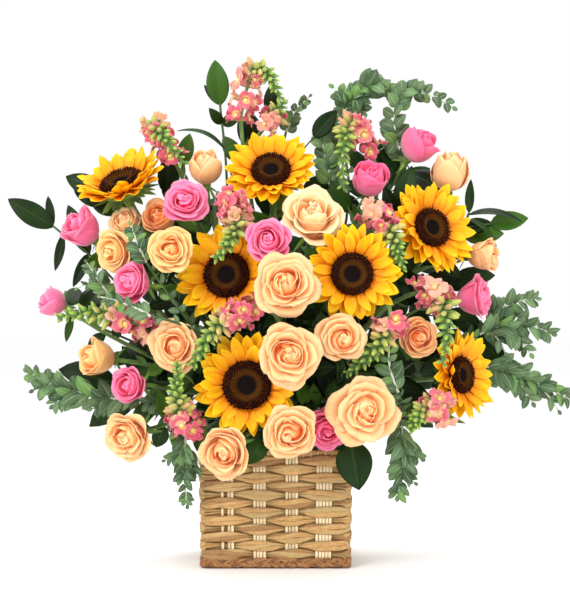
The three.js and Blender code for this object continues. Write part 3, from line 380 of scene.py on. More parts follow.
def stem_line(start, end, arrival, radius, owners, near_foot=0):
    reach = (start - end).length
    lift = start + Vector((0, 0, max(24, 0.3 * reach)))
    before = end - arrival * 0.3 * reach
    best_room, best = None, None
    for bow in BOWS:
        for turn in range(BOW_TURNS if bow else 1):
            angle = turn * 2 * math.pi / BOW_TURNS
            aside = Vector((math.cos(angle), 0.7 * math.sin(angle), 0.5 * math.sin(angle)))
            curve = bezier(start, lift + aside * bow, before + aside * 0.6 * bow, end)
            tested = trail(spaced(curve, STEM_STEPS), 7)
            away = np.linalg.norm(tested - np.array(start), axis=1) > near_foot
            tested = tested[away & (np.linalg.norm(tested - np.array(end), axis=1) > 8)]
            room = rooms(tested, radius, owners).min() if len(tested) else 99
            if best is None or room > best_room:
                best_room, best = room, curve
            if room > 1.4:
                return curve
    return best


def occupy_line(owner, curve, steps, radius):
    for point in trail(spaced(curve, steps), 1.4 * radius + 2):
        occupy(owner, point, radius)


def facing(yaw, pitch):
    """The way a bloom faces, and the turn that takes its own Z there."""
    a, p = math.radians(yaw), math.radians(pitch)
    out = Vector((math.sin(a) * math.cos(p), -math.cos(a) * math.cos(p), math.sin(p)))
    right = Vector((math.cos(a), math.sin(a), 0))
    return out, Matrix((right, out.cross(right), out)).transposed()


# %% Place the heads, then lead the stems
SUN_HUB, SUN_ROWS_APART, GAP = 3, 0.5, 0.3


def rose_height(bloom):
    return bloom["radius"] * mix(1.95, 1.25, bloom["open"])


heads = []
for number, bloom in enumerate(SUNFLOWERS, 1):
    out, turn = facing(bloom["yaw"], bloom["pitch"])
    base = place(*bloom["at"]) - out * SUN_HUB
    bloom.update(name=f"sunflower_{number}", out=out, turn=turn, base=base)
    owner = bloom["name"] + "_petals"
    heads.append((owner, bloom, STEM["sunflower"], SUN_ROWS_APART + SUN_HUB, 8))
    for share, count in ((0, 1), (0.4, 7), (0.8, 14)):
        for j in range(count):
            angle = j * 2 * math.pi / count
            spot = polar(angle, 1, 0.3 * share) * share * bloom["radius"]
            occupy(owner, turn @ spot + base + out * 3, 12)
for kind, blooms in (("rose_peach", PEACH_ROSES), ("rose_pink", PINK_ROSES)):
    for number, bloom in enumerate(blooms, 1):
        out, turn = facing(bloom["yaw"], bloom["pitch"])
        height = rose_height(bloom)
        base = place(*bloom["at"]) - out * 0.5 * height
        bloom.update(name=f"{kind}_{number}", out=out, turn=turn, base=base)
        heads.append((bloom["name"], bloom, STEM["rose"], 0, 6))
        occupy(bloom["name"], base + out * 0.58 * height, bloom["radius"] * mix(0.98, 0.9, bloom["open"]))
        occupy(bloom["name"], base + out * 0.3 * height, bloom["radius"] * 0.72)

RACEME = {"floret": 27, "bud": 15, "tip": 8, "twist": 0.8}
for owner, spray in SNAPDRAGONS.items():
    for *line, florets, buds in spray["racemes"]:
        curve = bezier(*(place(*p) for p in line))
        for i in range(11):
            share = i / 10
            is_open = share < florets / (florets + buds)
            reach = 0.85 * RACEME["floret"] if is_open else mix(1.1 * RACEME["bud"], RACEME["tip"], share)
            occupy(owner, point_on(curve, share), reach)

for i, (owner, bloom, radius, lower, thick) in enumerate(heads):
    base, out = bloom["base"], bloom["out"]
    spread = Vector((base.x / 220, (base.z - 330) / 170))
    spread *= (BUNDLE_RADIUS - radius - 1) / max(1.0, spread.length)
    start = Vector((spread.x, spread.y, STEM_TOP - 4 - 0.1 * i))
    end = base - out * (lower + GAP + thick)
    line = stem_line(start, end, out, radius, (f"flower_stem_{i}", owner), near_foot=34)
    occupy_line(f"flower_stem_{i}", line, STEM_STEPS, radius)
    bloom["stem"] = line
print(len(heads), "heads,", len(ball_owner), "balls")

# %% [markdown]
# ## Sheets and tubes
# Petals, leaves and bracts are all sheets: a grid whose corners are moved to where the petal is.
# Each corner keeps four marks, which the materials read: across (-1 to 1), along (0 at the root to
# 1 at the edge), tint (one draw for each petal) and layer (0 in the heart, 1 outside). A Solidify
# modifier then gives the sheets their thickness. A grid beats a picture of a petal on a plane,
# because its edges, folds and curls are real from every side.

# %% A piece in the making
MARKS = ("across", "along", "tint", "layer")


class Work:
    """A mesh in the making, in millimetres."""

    def __init__(self):
        self.bm = bmesh.new()
        self.marks = [self.bm.verts.layers.float.new(name) for name in MARKS]

    def mark(self, vert, *values):
        for layer, value in zip(self.marks, values):
            vert[layer] = value

    def sheet(self, shape, across, along, tint=0.5, layer=0.0, finish=0, wrap=False, marks=None):
        """shape(u, v) gives each corner's place; wrap joins the sides and ends that meet, and
        marks(u, v) gives the marks across and along where they aren't u and v."""
        made = bmesh.ops.create_grid(self.bm, x_segments=across, y_segments=along, size=1.0)["verts"]
        for vert in made:
            u, v = vert.co.x, (vert.co.y + 1) / 2
            self.mark(vert, *(marks(u, v) if marks else (u, v)), tint, layer)
            vert.co = shape(u, v)
        for face in {face for vert in made for face in vert.link_faces}:
            face.material_index = finish
        if wrap:
            bmesh.ops.remove_doubles(self.bm, verts=made, dist=1e-3)
        return made

    def tube(self, line, radii, sides=8, tint=0.5, layer=0.0, finish=0, rounded=0.6):
        """A closed round tube along a line of points, with a rounded end at each end."""
        line = [Vector(p) for p in line]
        radii = list(radii) if hasattr(radii, "__len__") else [radii] * len(line)
        first, last = line[0] - line[1], line[-1] - line[-2]
        first, last = first.normalized() * radii[0] * rounded, last.normalized() * radii[-1] * rounded
        line = [line[0] + first, line[0] + first * 0.5, *line, line[-1] + last * 0.5, line[-1] + last]
        radii = [0, radii[0] * 0.8, *radii, radii[-1] * 0.8, 0]
        sides_of = frames_along(line)
        count = len(line) - 1

        def shape(u, v):
            i = round(v * count)
            side, face = sides_of[i]
            angle = math.pi * u
            return line[i] + (side * math.cos(angle) + face * math.sin(angle)) * radii[i]

        return self.sheet(shape, sides, count, tint, layer, finish, wrap=True)


def frames_along(line):
    """Two directions square to the line at each of its points, carried along without twisting."""
    tangents = []
    for i in range(len(line)):
        step = line[min(i + 1, len(line) - 1)] - line[max(i - 1, 0)]
        tangents.append(step.normalized() if step.length > 1e-9 else Vector((0, 0, 1)))
    side = tangents[0].orthogonal().normalized()
    frames = []
    for i, tangent in enumerate(tangents):
        if i:
            side = tangents[i - 1].rotation_difference(tangent) @ side
        side = (side - tangent * side.dot(tangent)).normalized()
        frames.append((side, tangent.cross(side)))
    return frames


# %% Finish a piece
made_pieces = []
PETAL_THICK, FLORET_THICK, RUSCUS_THICK = 0.5, 0.35, 0.4


def finish_piece(name, work, finishes, nodes, slot, thickness=0.0):
    bm = work.bm
    bmesh.ops.recalc_face_normals(bm, faces=bm.faces)
    bmesh.ops.scale(bm, vec=(MM, MM, MM), verts=bm.verts)
    mesh = bpy.data.meshes.new(name)
    bm.to_mesh(mesh)
    bm.free()
    mesh.shade_smooth()
    for finish in finishes:
        mesh.materials.append(finish)
    piece = bpy.data.objects.new(name, mesh)
    bpy.context.scene.collection.objects.link(piece)
    if thickness:
        solidify = piece.modifiers.new("thickness", "SOLIDIFY")
        solidify.thickness = thickness * MM
        solidify.offset = 0
    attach(piece, "root")
    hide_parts(*nodes)
    made_pieces.append(piece)
    return piece


# %% [markdown]
# ## Finishes
# Every finish is a Principled shader. What varies over a surface comes from the marks on it and
# from noise in object space. Three effects are shared, so they are node groups: cloudy, which
# drifts a colour, ribs, the fine lines along a petal or leaf, and fibre, the streaks of rush.

# %% Helpers for node trees


class Paint:
    """Adds nodes to a tree, and links or sets whatever is handed to their sockets."""

    def __init__(self, tree):
        self.tree = tree

    def node(self, kind, inputs=(), **settings):
        made = self.tree.nodes.new(kind)
        for name, value in settings.items():
            setattr(made, name, value)
        for key, value in dict(inputs).items():
            self.put(made.inputs[key], value)
        return made

    def put(self, socket, value):
        if isinstance(value, bpy.types.NodeSocket):
            self.tree.links.new(value, socket)
        else:
            socket.default_value = value

    def mark(self, name):
        return self.node("ShaderNodeAttribute", attribute_name=name).outputs["Fac"]

    def math(self, operation, a, b=0.0):
        return self.node("ShaderNodeMath", {0: a, 1: b}, operation=operation).outputs[0]

    def plus(self, a, b):
        return self.math("ADD", a, b)

    def times(self, a, b):
        return self.math("MULTIPLY", a, b)

    def rest(self, a):
        return self.math("SUBTRACT", 1.0, a)

    def between(self, value, low, high):
        inputs = {"Value": value, "From Min": low, "From Max": high}
        return self.node("ShaderNodeMapRange", inputs, interpolation_type="SMOOTHSTEP").outputs[0]

    def blend(self, factor, a, b):
        made = self.node("ShaderNodeMix", {0: factor}, data_type="RGBA")
        self.put(made.inputs[6], a)
        self.put(made.inputs[7], b)
        return made.outputs[2]

    def group(self, tree, **inputs):
        made = self.node("ShaderNodeGroup", node_tree=tree)
        for name, value in inputs.items():
            self.put(made.inputs[name], value)
        return made

    def bump(self, height, strength, distance):
        inputs = {"Height": height, "Strength": strength, "Distance": distance}
        return self.node("ShaderNodeBump", inputs).outputs[0]


def colour(red, green, blue):
    """A colour from 0-255 screen values, as the linear numbers that a shader takes."""
    return tuple(((c / 255 + 0.055) / 1.055) ** 2.4 if c > 10 else c / 3295 for c in (red, green, blue)) + (1,)


def effect(name, inputs, outputs):
    """An empty node group with its named sockets."""
    tree = bpy.data.node_groups.new(name, "ShaderNodeTree")
    for label, value in inputs.items():
        kind = "NodeSocketColor" if isinstance(value, tuple) else "NodeSocketFloat"
        tree.interface.new_socket(label, in_out="INPUT", socket_type=kind).default_value = value
    for label in outputs:
        tree.interface.new_socket(label, in_out="OUTPUT", socket_type="NodeSocketFloat")
    paint = Paint(tree)
    return tree, paint, paint.node("NodeGroupInput").outputs, paint.node("NodeGroupOutput").inputs


def new_finish(name, **sockets):
    material = bpy.data.materials.new(name)
    material.use_nodes = True
    shader = material.node_tree.nodes["Principled BSDF"]
    for socket, value in sockets.items():
        shader.inputs[socket.replace("_", " ")].default_value = value
    return material, Paint(material.node_tree), shader.inputs


# %% Shared effects
CLOUDY, paint, given, result = effect("cloudy", {"Size": 12.0, "Detail": 2.0}, ["Cloud"])
coordinates = paint.node("ShaderNodeTexCoord").outputs["Object"]
scale = paint.math("DIVIDE", 1000.0, given["Size"])
grain = paint.node("ShaderNodeTexNoise", {"Vector": coordinates, "Scale": scale, "Detail": given["Detail"]})
paint.put(result["Cloud"], grain.outputs["Fac"])

RIBS, paint, given, result = effect("ribs", {"Ribs": 9.0, "Slant": 0.0, "Sharp": 0.5}, ["Rib", "Keel"])
across, along = paint.mark("across"), paint.mark("along")
coordinates = paint.node("ShaderNodeTexCoord").outputs["Object"]
wander = paint.node("ShaderNodeTexNoise", {"Vector": coordinates, "Scale": 90.0, "Detail": 1.0}).outputs["Fac"]
sideways = paint.math("ABSOLUTE", across)
phase = paint.plus(sideways, paint.times(along, given["Slant"]))
phase = paint.times(phase, given["Ribs"])
phase = paint.plus(phase, paint.times(wander, 0.6))
wave = paint.math("ABSOLUTE", paint.math("SINE", paint.times(phase, math.pi)))
paint.put(result["Rib"], paint.math("POWER", wave, given["Sharp"]))
paint.put(result["Keel"], paint.between(sideways, 0.0, 0.09))

FIBRE, paint, given, result = effect("fibre", {"Fine": 10.0, "Coarse": 3.0}, ["Fine", "Coarse"])
across, along, tint = paint.mark("across"), paint.mark("along"), paint.mark("tint")
for label, stretch in (("Fine", 9.0), ("Coarse", 4.5)):
    lengthways, sideways = paint.times(along, stretch), paint.times(across, given[label])
    apart = paint.times(tint, 60.0)
    spot = paint.node("ShaderNodeCombineXYZ", {0: lengthways, 1: sideways, 2: apart}).outputs[0]
    streaks = paint.node("ShaderNodeTexNoise", {"Vector": spot, "Scale": 1.0, "Detail": 3.0, "Roughness": 0.6})
    paint.put(result[label], streaks.outputs["Fac"])
print("effects:", CLOUDY.name, RIBS.name, FIBRE.name)

# %% [markdown]
# ## Rose petals
# A rose is deepest in colour down in its folds and palest along its rolled edges, and its outer
# petals are lighter than its heart. So the colour runs along each petal, and again from layer to
# layer, with faint veins and a soft sheen like suede. A faint painted glow of the fold colour, given
# as emission, stands in for the light that comes through the thin petals into the folds.

# %% Rose finishes


def rose_finish(name, fold, body, edge, foot=None, foot_share=0.0):
    """fold, body and edge are the colours from the heart to the lip. The foot of an outer petal of
    some roses is paler or deeper, by its share."""
    fold, body, edge = colour(*fold), colour(*body), colour(*edge)
    material, paint, shader = new_finish(
        name, Roughness=0.55, Sheen_Weight=0.25, Sheen_Roughness=0.45,
        Subsurface_Weight=0.4, Subsurface_Scale=0.002,
    )
    shader["Subsurface Radius"].default_value = (1.0, 0.95, 0.9)
    along, layer, tint = paint.mark("along"), paint.mark("layer"), paint.mark("tint")
    cloud = paint.group(CLOUDY, Size=16.0).outputs["Cloud"]
    rise = paint.plus(along, paint.times(layer, 0.5))
    rise = paint.plus(rise, paint.times(cloud, 0.25))
    made = paint.blend(paint.between(rise, 0.25, 1.2), fold, body)
    lip = paint.times(paint.between(along, 0.78, 1.0), 0.5)
    made = paint.blend(lip, made, edge)
    if foot:
        low = paint.times(paint.between(layer, 0.45, 1.0), paint.between(along, 0.7, 0.15))
        made = paint.blend(paint.times(low, foot_share), made, colour(*foot))
    ribs = paint.group(RIBS, Ribs=7.0, Sharp=0.4).outputs["Rib"]
    vein = paint.times(paint.rest(ribs), 0.16)
    made = paint.blend(vein, made, fold)
    drift = paint.between(paint.plus(tint, cloud), 0.3, 1.6)
    made = paint.blend(paint.times(drift, 0.22), made, edge)
    paint.put(shader["Base Color"], made)
    # Painted glow: a faint emission of the fold colour, strongest deep in the heart, stands in for
    # light that comes through the thin petals into the folds, so these are never quite dark.
    depth = paint.between(paint.plus(layer, paint.times(along, 0.3)), 1.1, 0.2)
    paint.put(shader["Emission Color"], paint.blend(paint.times(depth, 0.2), colour(0, 0, 0), fold))
    shader["Emission Strength"].default_value = 1.0
    paint.put(shader["Normal"], paint.bump(ribs, 0.12, 0.0006))
    return material


ROSE_COLOURS = {
    "apricot": ((252, 142, 66), (253, 182, 118), (255, 214, 164)),
    "honey": ((252, 146, 56), (253, 184, 108), (255, 212, 150)),
    "tangerine": ((240, 118, 58), (248, 164, 98), (254, 202, 148)),
    "cream": ((252, 162, 88), (254, 204, 146), (255, 228, 184)),
    "pink": ((226, 20, 80), (246, 96, 144), (255, 156, 190), (255, 176, 200), 0.4),
    "blush": ((228, 34, 92), (244, 112, 152), (250, 92, 144), (255, 182, 202), 0.9),
}
ROSE_FINISHES = {name: rose_finish(name + "_petal", *given) for name, given in ROSE_COLOURS.items()}
print(len(ROSE_FINISHES), "rose finishes")

# %% [markdown]
# ## Sunflower petals and discs
# A ray petal is deep orange at its root and golden yellow at its point, with grooves along it. The
# disc is nearly black in the middle, with a brown ring and a dark rim. A picture could carry these
# colours, but the marks on the mesh give the same runs and stay sharp close by.

# %% Sunflower finishes
SUN_PETAL, paint, shader = new_finish(
    "sunflower_petal", Roughness=0.55, Subsurface_Weight=0.1, Subsurface_Scale=0.005
)
shader["Specular IOR Level"].default_value = 0.3
along, tint = paint.mark("along"), paint.mark("tint")
cloud = paint.group(CLOUDY, Size=14.0).outputs["Cloud"]
rise = paint.plus(along, paint.times(cloud, 0.3))
made = paint.blend(paint.between(rise, 0.1, 0.75), colour(248, 120, 0), colour(255, 178, 0))
made = paint.blend(paint.between(rise, 0.6, 1.2), made, colour(255, 212, 8))
ribs = paint.group(RIBS, Ribs=4.0, Sharp=0.35)
groove = paint.times(paint.rest(ribs.outputs["Rib"]), 0.2)
made = paint.blend(groove, made, colour(236, 132, 0))
made = paint.blend(paint.times(paint.between(tint, 0.5, 1.0), 0.3), made, colour(250, 160, 0))
paint.put(shader["Base Color"], made)
paint.put(shader["Normal"], paint.bump(ribs.outputs["Rib"], 0.4, 0.0008))

SUN_DISC, paint, shader = new_finish("sunflower_disc", Roughness=0.9)
shader["Specular IOR Level"].default_value = 0.12
along, layer, tint = paint.mark("along"), paint.mark("layer"), paint.mark("tint")
made = paint.blend(paint.between(layer, 0.34, 0.5), colour(22, 15, 14), colour(96, 58, 16))
made = paint.blend(paint.between(layer, 0.58, 0.74), made, colour(48, 20, 8))
made = paint.blend(paint.between(layer, 0.9, 1.02), made, colour(26, 9, 5))
tips = paint.times(paint.between(along, 0.55, 1.0), paint.between(tint, 0.25, 0.9))
rim = paint.between(layer, 0.46, 0.62)
made = paint.blend(paint.times(tips, paint.times(rim, 0.6)), made, colour(128, 62, 16))
paint.put(shader["Base Color"], made)
print("finishes:", SUN_PETAL.name, SUN_DISC.name)

# %% [markdown]
# ## Snapdragon petals and buds
# An open floret is rose pink with a yellow throat, and some fade to cream. A bud is green while it
# is young and turns cream, then pink, as it ripens. Each floret could have a material of its own,
# but the marks say where on it a spot lies and how ripe a bud is, so two finishes serve them all.

# %% Snapdragon finishes
SNAP_SOCKETS = {"Subsurface_Weight": 0.15, "Subsurface_Scale": 0.004, "Sheen_Weight": 0.3}
SNAP_PETAL, paint, shader = new_finish("snapdragon_petal", Roughness=0.6, **SNAP_SOCKETS)
along, tint = paint.mark("along"), paint.mark("tint")
cloud = paint.group(CLOUDY, Size=9.0, Detail=3.0).outputs["Cloud"]
rise = paint.plus(along, paint.times(paint.math("SUBTRACT", cloud, 0.5), 0.5))
made = paint.blend(paint.between(rise, 0.12, 0.55), colour(248, 214, 128), colour(214, 80, 106))
made = paint.blend(paint.between(rise, 0.7, 1.15), made, colour(234, 128, 142))
made = paint.blend(paint.times(paint.between(tint, 0.6, 1.0), 0.75), made, colour(238, 186, 146))
paint.put(shader["Base Color"], made)
ribs = paint.group(RIBS, Ribs=4.0, Sharp=0.6).outputs["Rib"]
paint.put(shader["Normal"], paint.bump(ribs, 0.2, 0.0006))

SNAP_BUD, paint, shader = new_finish("snapdragon_bud", Roughness=0.5, **SNAP_SOCKETS)
along, layer = paint.mark("along"), paint.mark("layer")
cloud = paint.group(CLOUDY, Size=8.0).outputs["Cloud"]
made = paint.blend(paint.between(along, 0.1, 0.9), colour(88, 136, 30), colour(160, 190, 66))
ripe = paint.times(paint.between(layer, 0.1, 0.7), paint.between(along, 0.1, 0.6))
made = paint.blend(paint.times(ripe, 0.85), made, colour(214, 190, 100))
towards_tip = paint.between(paint.plus(along, cloud), 0.6, 1.3)
flush = paint.times(paint.between(layer, 0.55, 1.0), towards_tip)
made = paint.blend(paint.times(flush, 0.75), made, colour(226, 134, 118))
made = paint.blend(paint.times(cloud, 0.25), made, colour(112, 146, 44))
paint.put(shader["Base Color"], made)
print("finishes:", SNAP_PETAL.name, SNAP_BUD.name)

# %% [markdown]
# ## Greens
# Ruscus leaves are dark and glossy with fine lines along them. Eucalyptus is a dull grey green with
# a pale rib and a waxy bloom. Stems, sepals and bracts are a fresh green with fine hairs, which
# show as a soft sheen.

# %% Leaf and stem finishes


def leaf_finish(name, dark, light, vein, fresh, roughness, ribs, slant, vein_share, sheen):
    dark, light, vein, fresh = (colour(*given) for given in (dark, light, vein, fresh))
    material, paint, shader = new_finish(
        name, Roughness=roughness, Sheen_Weight=sheen, Specular_IOR_Level=0.16,
        Subsurface_Weight=0.05, Subsurface_Scale=0.003,
    )
    tint = paint.mark("tint")
    cloud = paint.group(CLOUDY, Size=20.0).outputs["Cloud"]
    drift = paint.plus(paint.times(tint, 0.6), paint.times(cloud, 0.5))
    made = paint.blend(paint.between(drift, 0.15, 0.95), dark, light)
    made = paint.blend(paint.times(paint.between(tint, 0.72, 0.95), 0.8), made, fresh)
    lines = paint.group(RIBS, Ribs=ribs, Slant=slant, Sharp=0.5)
    fine = paint.times(paint.rest(lines.outputs["Rib"]), vein_share)
    made = paint.blend(fine, made, vein)
    keel_share = min(1.0, 2.2 * vein_share)
    keel = paint.times(paint.rest(lines.outputs["Keel"]), keel_share)
    made = paint.blend(keel, made, vein)
    paint.put(shader["Base Color"], made)
    height = paint.plus(lines.outputs["Rib"], paint.times(lines.outputs["Keel"], 2.0))
    paint.put(shader["Normal"], paint.bump(height, 0.35, 0.0006))
    return material


LEAF_COLOURS = {
    # dark, light, vein and fresh green, then roughness, ribs, their slant, share of veins, sheen
    "ruscus_leaf": ((6, 24, 2), (26, 60, 8), (66, 106, 34), (62, 110, 30), 0.4, 6.0, 0.0, 0.12, 0.0),
    "eucalyptus_leaf": ((34, 70, 34), (104, 138, 92), (184, 200, 168), (96, 144, 52), 0.5, 3.0, 2.4, 0.3, 0.05),
    "rose_leaf": ((8, 30, 6), (36, 74, 18), (70, 108, 40), (86, 132, 42), 0.5, 4.0, 2.0, 0.22, 0.0),
    "sepal": ((62, 102, 28), (112, 152, 52), (146, 176, 84), (120, 160, 56), 0.55, 4.0, 0.0, 0.3, 0.2),
    "bract": ((48, 88, 26), (96, 136, 46), (136, 164, 74), (110, 148, 50), 0.6, 5.0, 0.0, 0.3, 0.2),
}
RUSCUS_LEAF, EUCALYPTUS_LEAF, ROSE_LEAF, SEPAL, BRACT = (
    leaf_finish(name, *given) for name, given in LEAF_COLOURS.items()
)


def stem_finish(name, dark, light, roughness, sheen):
    material, paint, shader = new_finish(name, Roughness=roughness, Sheen_Weight=sheen)
    fibre = paint.group(FIBRE, Fine=3.0, Coarse=1.0).outputs
    cloud = paint.group(CLOUDY, Size=11.0, Detail=3.0).outputs["Cloud"]
    drift = paint.plus(paint.times(fibre["Fine"], 0.5), paint.times(cloud, 0.5))
    paint.put(shader["Base Color"], paint.blend(paint.between(drift, 0.3, 0.7), dark, light))
    paint.put(shader["Normal"], paint.bump(drift, 0.3, 0.0006))
    return material


STALK = stem_finish("stalk", colour(66, 104, 38), colour(112, 150, 64), 0.5, 0.3)
SILVER_TWIG = stem_finish("silver_twig", colour(150, 164, 136), colour(226, 230, 212), 0.65, 0.3)
DARK_TWIG = stem_finish("dark_twig", colour(36, 68, 24), colour(70, 104, 42), 0.45, 0.1)
SPRIG_FINISHES = [EUCALYPTUS_LEAF, SILVER_TWIG, DARK_TWIG]
SPIKE_FINISHES = [SNAP_PETAL, SNAP_BUD, STALK, BRACT]
STEM_FINISHES = [STALK, SEPAL, BRACT, ROSE_LEAF]
print("finishes:", *LEAF_COLOURS, STALK.name, SILVER_TWIG.name, DARK_TWIG.name)

# %% [markdown]
# ## Basket finishes
# The weavers are flat rush, tan with brown streaks. The stakes are paler split cane with a slight
# gloss, and the foot is a plait of darker rush. The liner is thin dark plastic, and the foam is a
# dark green foam with open pores.

# %% Basket finishes


def rush_finish(name, dark, body, light, roughness, coat=0.0):
    material, paint, shader = new_finish(name, Roughness=roughness, Coat_Weight=coat, Coat_Roughness=0.4)
    tint = paint.mark("tint")
    fibre = paint.group(FIBRE, Fine=9.0, Coarse=2.2).outputs
    made = paint.blend(paint.between(fibre["Coarse"], 0.34, 0.66), body, light)
    made = paint.blend(paint.times(paint.between(tint, 0.7, 0.95), 0.5), made, dark)
    green = paint.times(paint.between(tint, 0.35, 0.05), 0.4)
    made = paint.blend(green, made, colour(170, 158, 112))
    streak = paint.plus(fibre["Fine"], paint.times(fibre["Coarse"], 0.5))
    made = paint.blend(paint.times(paint.between(streak, 0.86, 1.06), 0.8), made, dark)
    paint.put(shader["Base Color"], made)
    edge = paint.between(paint.math("ABSOLUTE", paint.mark("across")), 0.8, 1.0)
    paint.put(shader["Normal"], paint.bump(paint.math("SUBTRACT", fibre["Fine"], edge), 0.5, 0.0007))
    return material


RUSH = rush_finish("rush_weaver", colour(104, 56, 24), colour(180, 136, 78), colour(208, 168, 108), 0.6)
CANE = rush_finish("cane_stake", colour(176, 140, 92), colour(222, 198, 150), colour(238, 220, 182), 0.45, 0.15)
PLAIT = rush_finish("rush_plait", colour(64, 28, 12), colour(134, 82, 42), colour(178, 126, 72), 0.65)

LINER, paint, shader = new_finish("liner_plastic", Roughness=0.32)
cloud = paint.group(CLOUDY, Size=26.0, Detail=4.0).outputs["Cloud"]
paint.put(shader["Base Color"], paint.blend(cloud, colour(30, 38, 32), colour(48, 58, 50)))
paint.put(shader["Normal"], paint.bump(cloud, 0.5, 0.003))

FOAM, paint, shader = new_finish("floral_foam", Roughness=0.95)
coordinates = paint.node("ShaderNodeTexCoord").outputs["Object"]
cells = paint.node("ShaderNodeTexVoronoi", {"Vector": coordinates, "Scale": 900.0}).outputs["Distance"]
cloud = paint.group(CLOUDY, Size=15.0).outputs["Cloud"]
made = paint.blend(cloud, colour(22, 62, 34), colour(40, 88, 50))
# Painted shade: the pores, bumped low, get a darker green than the walls between them.
paint.put(shader["Base Color"], paint.blend(paint.between(cells, 0.1, 0.5), made, colour(58, 108, 66)))
paint.put(shader["Normal"], paint.bump(cells, 0.8, 0.001))

for node, finish in (("liner", LINER), ("foam", FOAM)):
    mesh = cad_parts[node].data
    mesh.materials.clear()
    mesh.materials.append(finish)
print("finishes:", RUSH.name, CANE.name, PLAIT.name, LINER.name, FOAM.name)

# %% [markdown]
# ## Roses
# A rose is a tight scroll in the middle and then rings of petals, each ring wider, lower and more
# open than the one inside it. Every petal is a cup: it leaves the middle, rises, and rolls its
# edge outwards. A closed rose uses the same rings, held upright and close. Modelling one rose by
# hand and copying it would look copied, so each of the 28 draws its own petals.

# %% One rose
ROSE_RINGS = [
    # petals, half width in radians, reach and height closed, reach and height full
    (3, 1.80, (0.24, 0.98), (0.21, 0.97)),
    (3, 1.62, (0.37, 0.99), (0.34, 0.99)),
    (4, 1.45, (0.50, 1.00), (0.47, 0.96)),
    (4, 1.34, (0.66, 1.01), (0.63, 0.90)),
    (5, 1.20, (0.84, 0.98), (0.85, 0.79)),
    (5, 1.12, (1.00, 0.92), (1.05, 0.62)),
]
# How steeply each ring runs at its root, middle, shoulder and edge, in degrees: in a bud, and full.
RING_SLOPES = [
    ((30, 86, 104, 140), (30, 88, 112, 150)),
    ((26, 84, 102, 126), (24, 84, 106, 124)),
    ((22, 80, 101, 116), (18, 80, 98, 88)),
    ((18, 74, 100, 112), (12, 70, 84, 40)),
    ((12, 70, 99, 108), (8, 60, 66, 0)),
    ((8, 60, 98, 104), (4, 44, 50, -34)),
]
PETAL_GRID, HEART_PETALS = (12, 9), 7
HEART_FROM = 0.9  # how open a rose is from which its heart shows as a cluster of petals
BUD_BELOW = 0.45  # how open a rose is below which it has the few broad petals of a bud


def petal_profile(slopes, reach, top):
    """The middle line of a petal, as the outward and upward steps that its slopes give."""
    shares = np.linspace(0, 1, 33)
    steep = np.radians(np.interp(shares, (0, 0.3, 0.72, 1), slopes))
    out, up = np.cumsum(np.cos(steep)), np.cumsum(np.sin(steep))
    out, up = out - out[0], up - up[0]
    return shares, out / out.max() * reach, up / up.max() * top


def rose_petal(radius, height, angle, wide, slopes, reach, top, draw, shift=(0, 0), wavy=1.0, lobed=0.0):
    shares, outs, ups = petal_profile(slopes, reach * radius, top * height)
    phase, phase_2, lean = draw.uniform(0, 6.3), draw.uniform(0, 6.3), draw.uniform(-0.05, 0.05)
    lap, point, notch = draw.uniform(0.03, 0.05), draw.uniform(0.0, 0.06), draw.uniform(0.1, 0.2)
    fold = draw.uniform(0.01, 0.06) * (0.2 + reach)

    def shape(u, v):
        reached = v * (1 - notch * abs(u) ** 3 - lobed * u * u + point * (1 - abs(u)) ** 2) / (1 + point)
        out, up = np.interp(reached, shares, outs), np.interp(reached, shares, ups)
        out += radius * (lap * u + lean * u) * v
        out -= radius * fold * abs(u) ** 3 * v * v
        up -= radius * fold * 1.3 * u * u * v**3
        ruffle = v * v * v * (0.3 + reach) * wavy
        out += radius * ruffle * (0.035 * math.sin(3.6 * u + phase) + 0.012 * math.sin(11 * u + phase_2))
        up += radius * ruffle * (0.045 * math.sin(4.6 * u + phase_2) + 0.014 * math.sin(13 * u + phase))
        theta = angle + u * wide * mix(1.0, 0.86, v)
        return Vector((out * math.cos(theta) + shift[0], out * math.sin(theta) + shift[1], up))

    return shape


def drift_field(draw, reach):
    """A smooth random push: a few long waves, each with its own way, phase and direction."""

    def drawn(spread):
        return Vector([draw.gauss(0, spread) for _ in range(3)])

    waves = [(drawn(1 / reach), draw.uniform(0, 6.3), drawn(0.2)) for _ in range(6)]

    def push(spot):
        return sum((shift * math.sin(way.dot(spot) + phase) for way, phase, shift in waves), Vector())

    return push


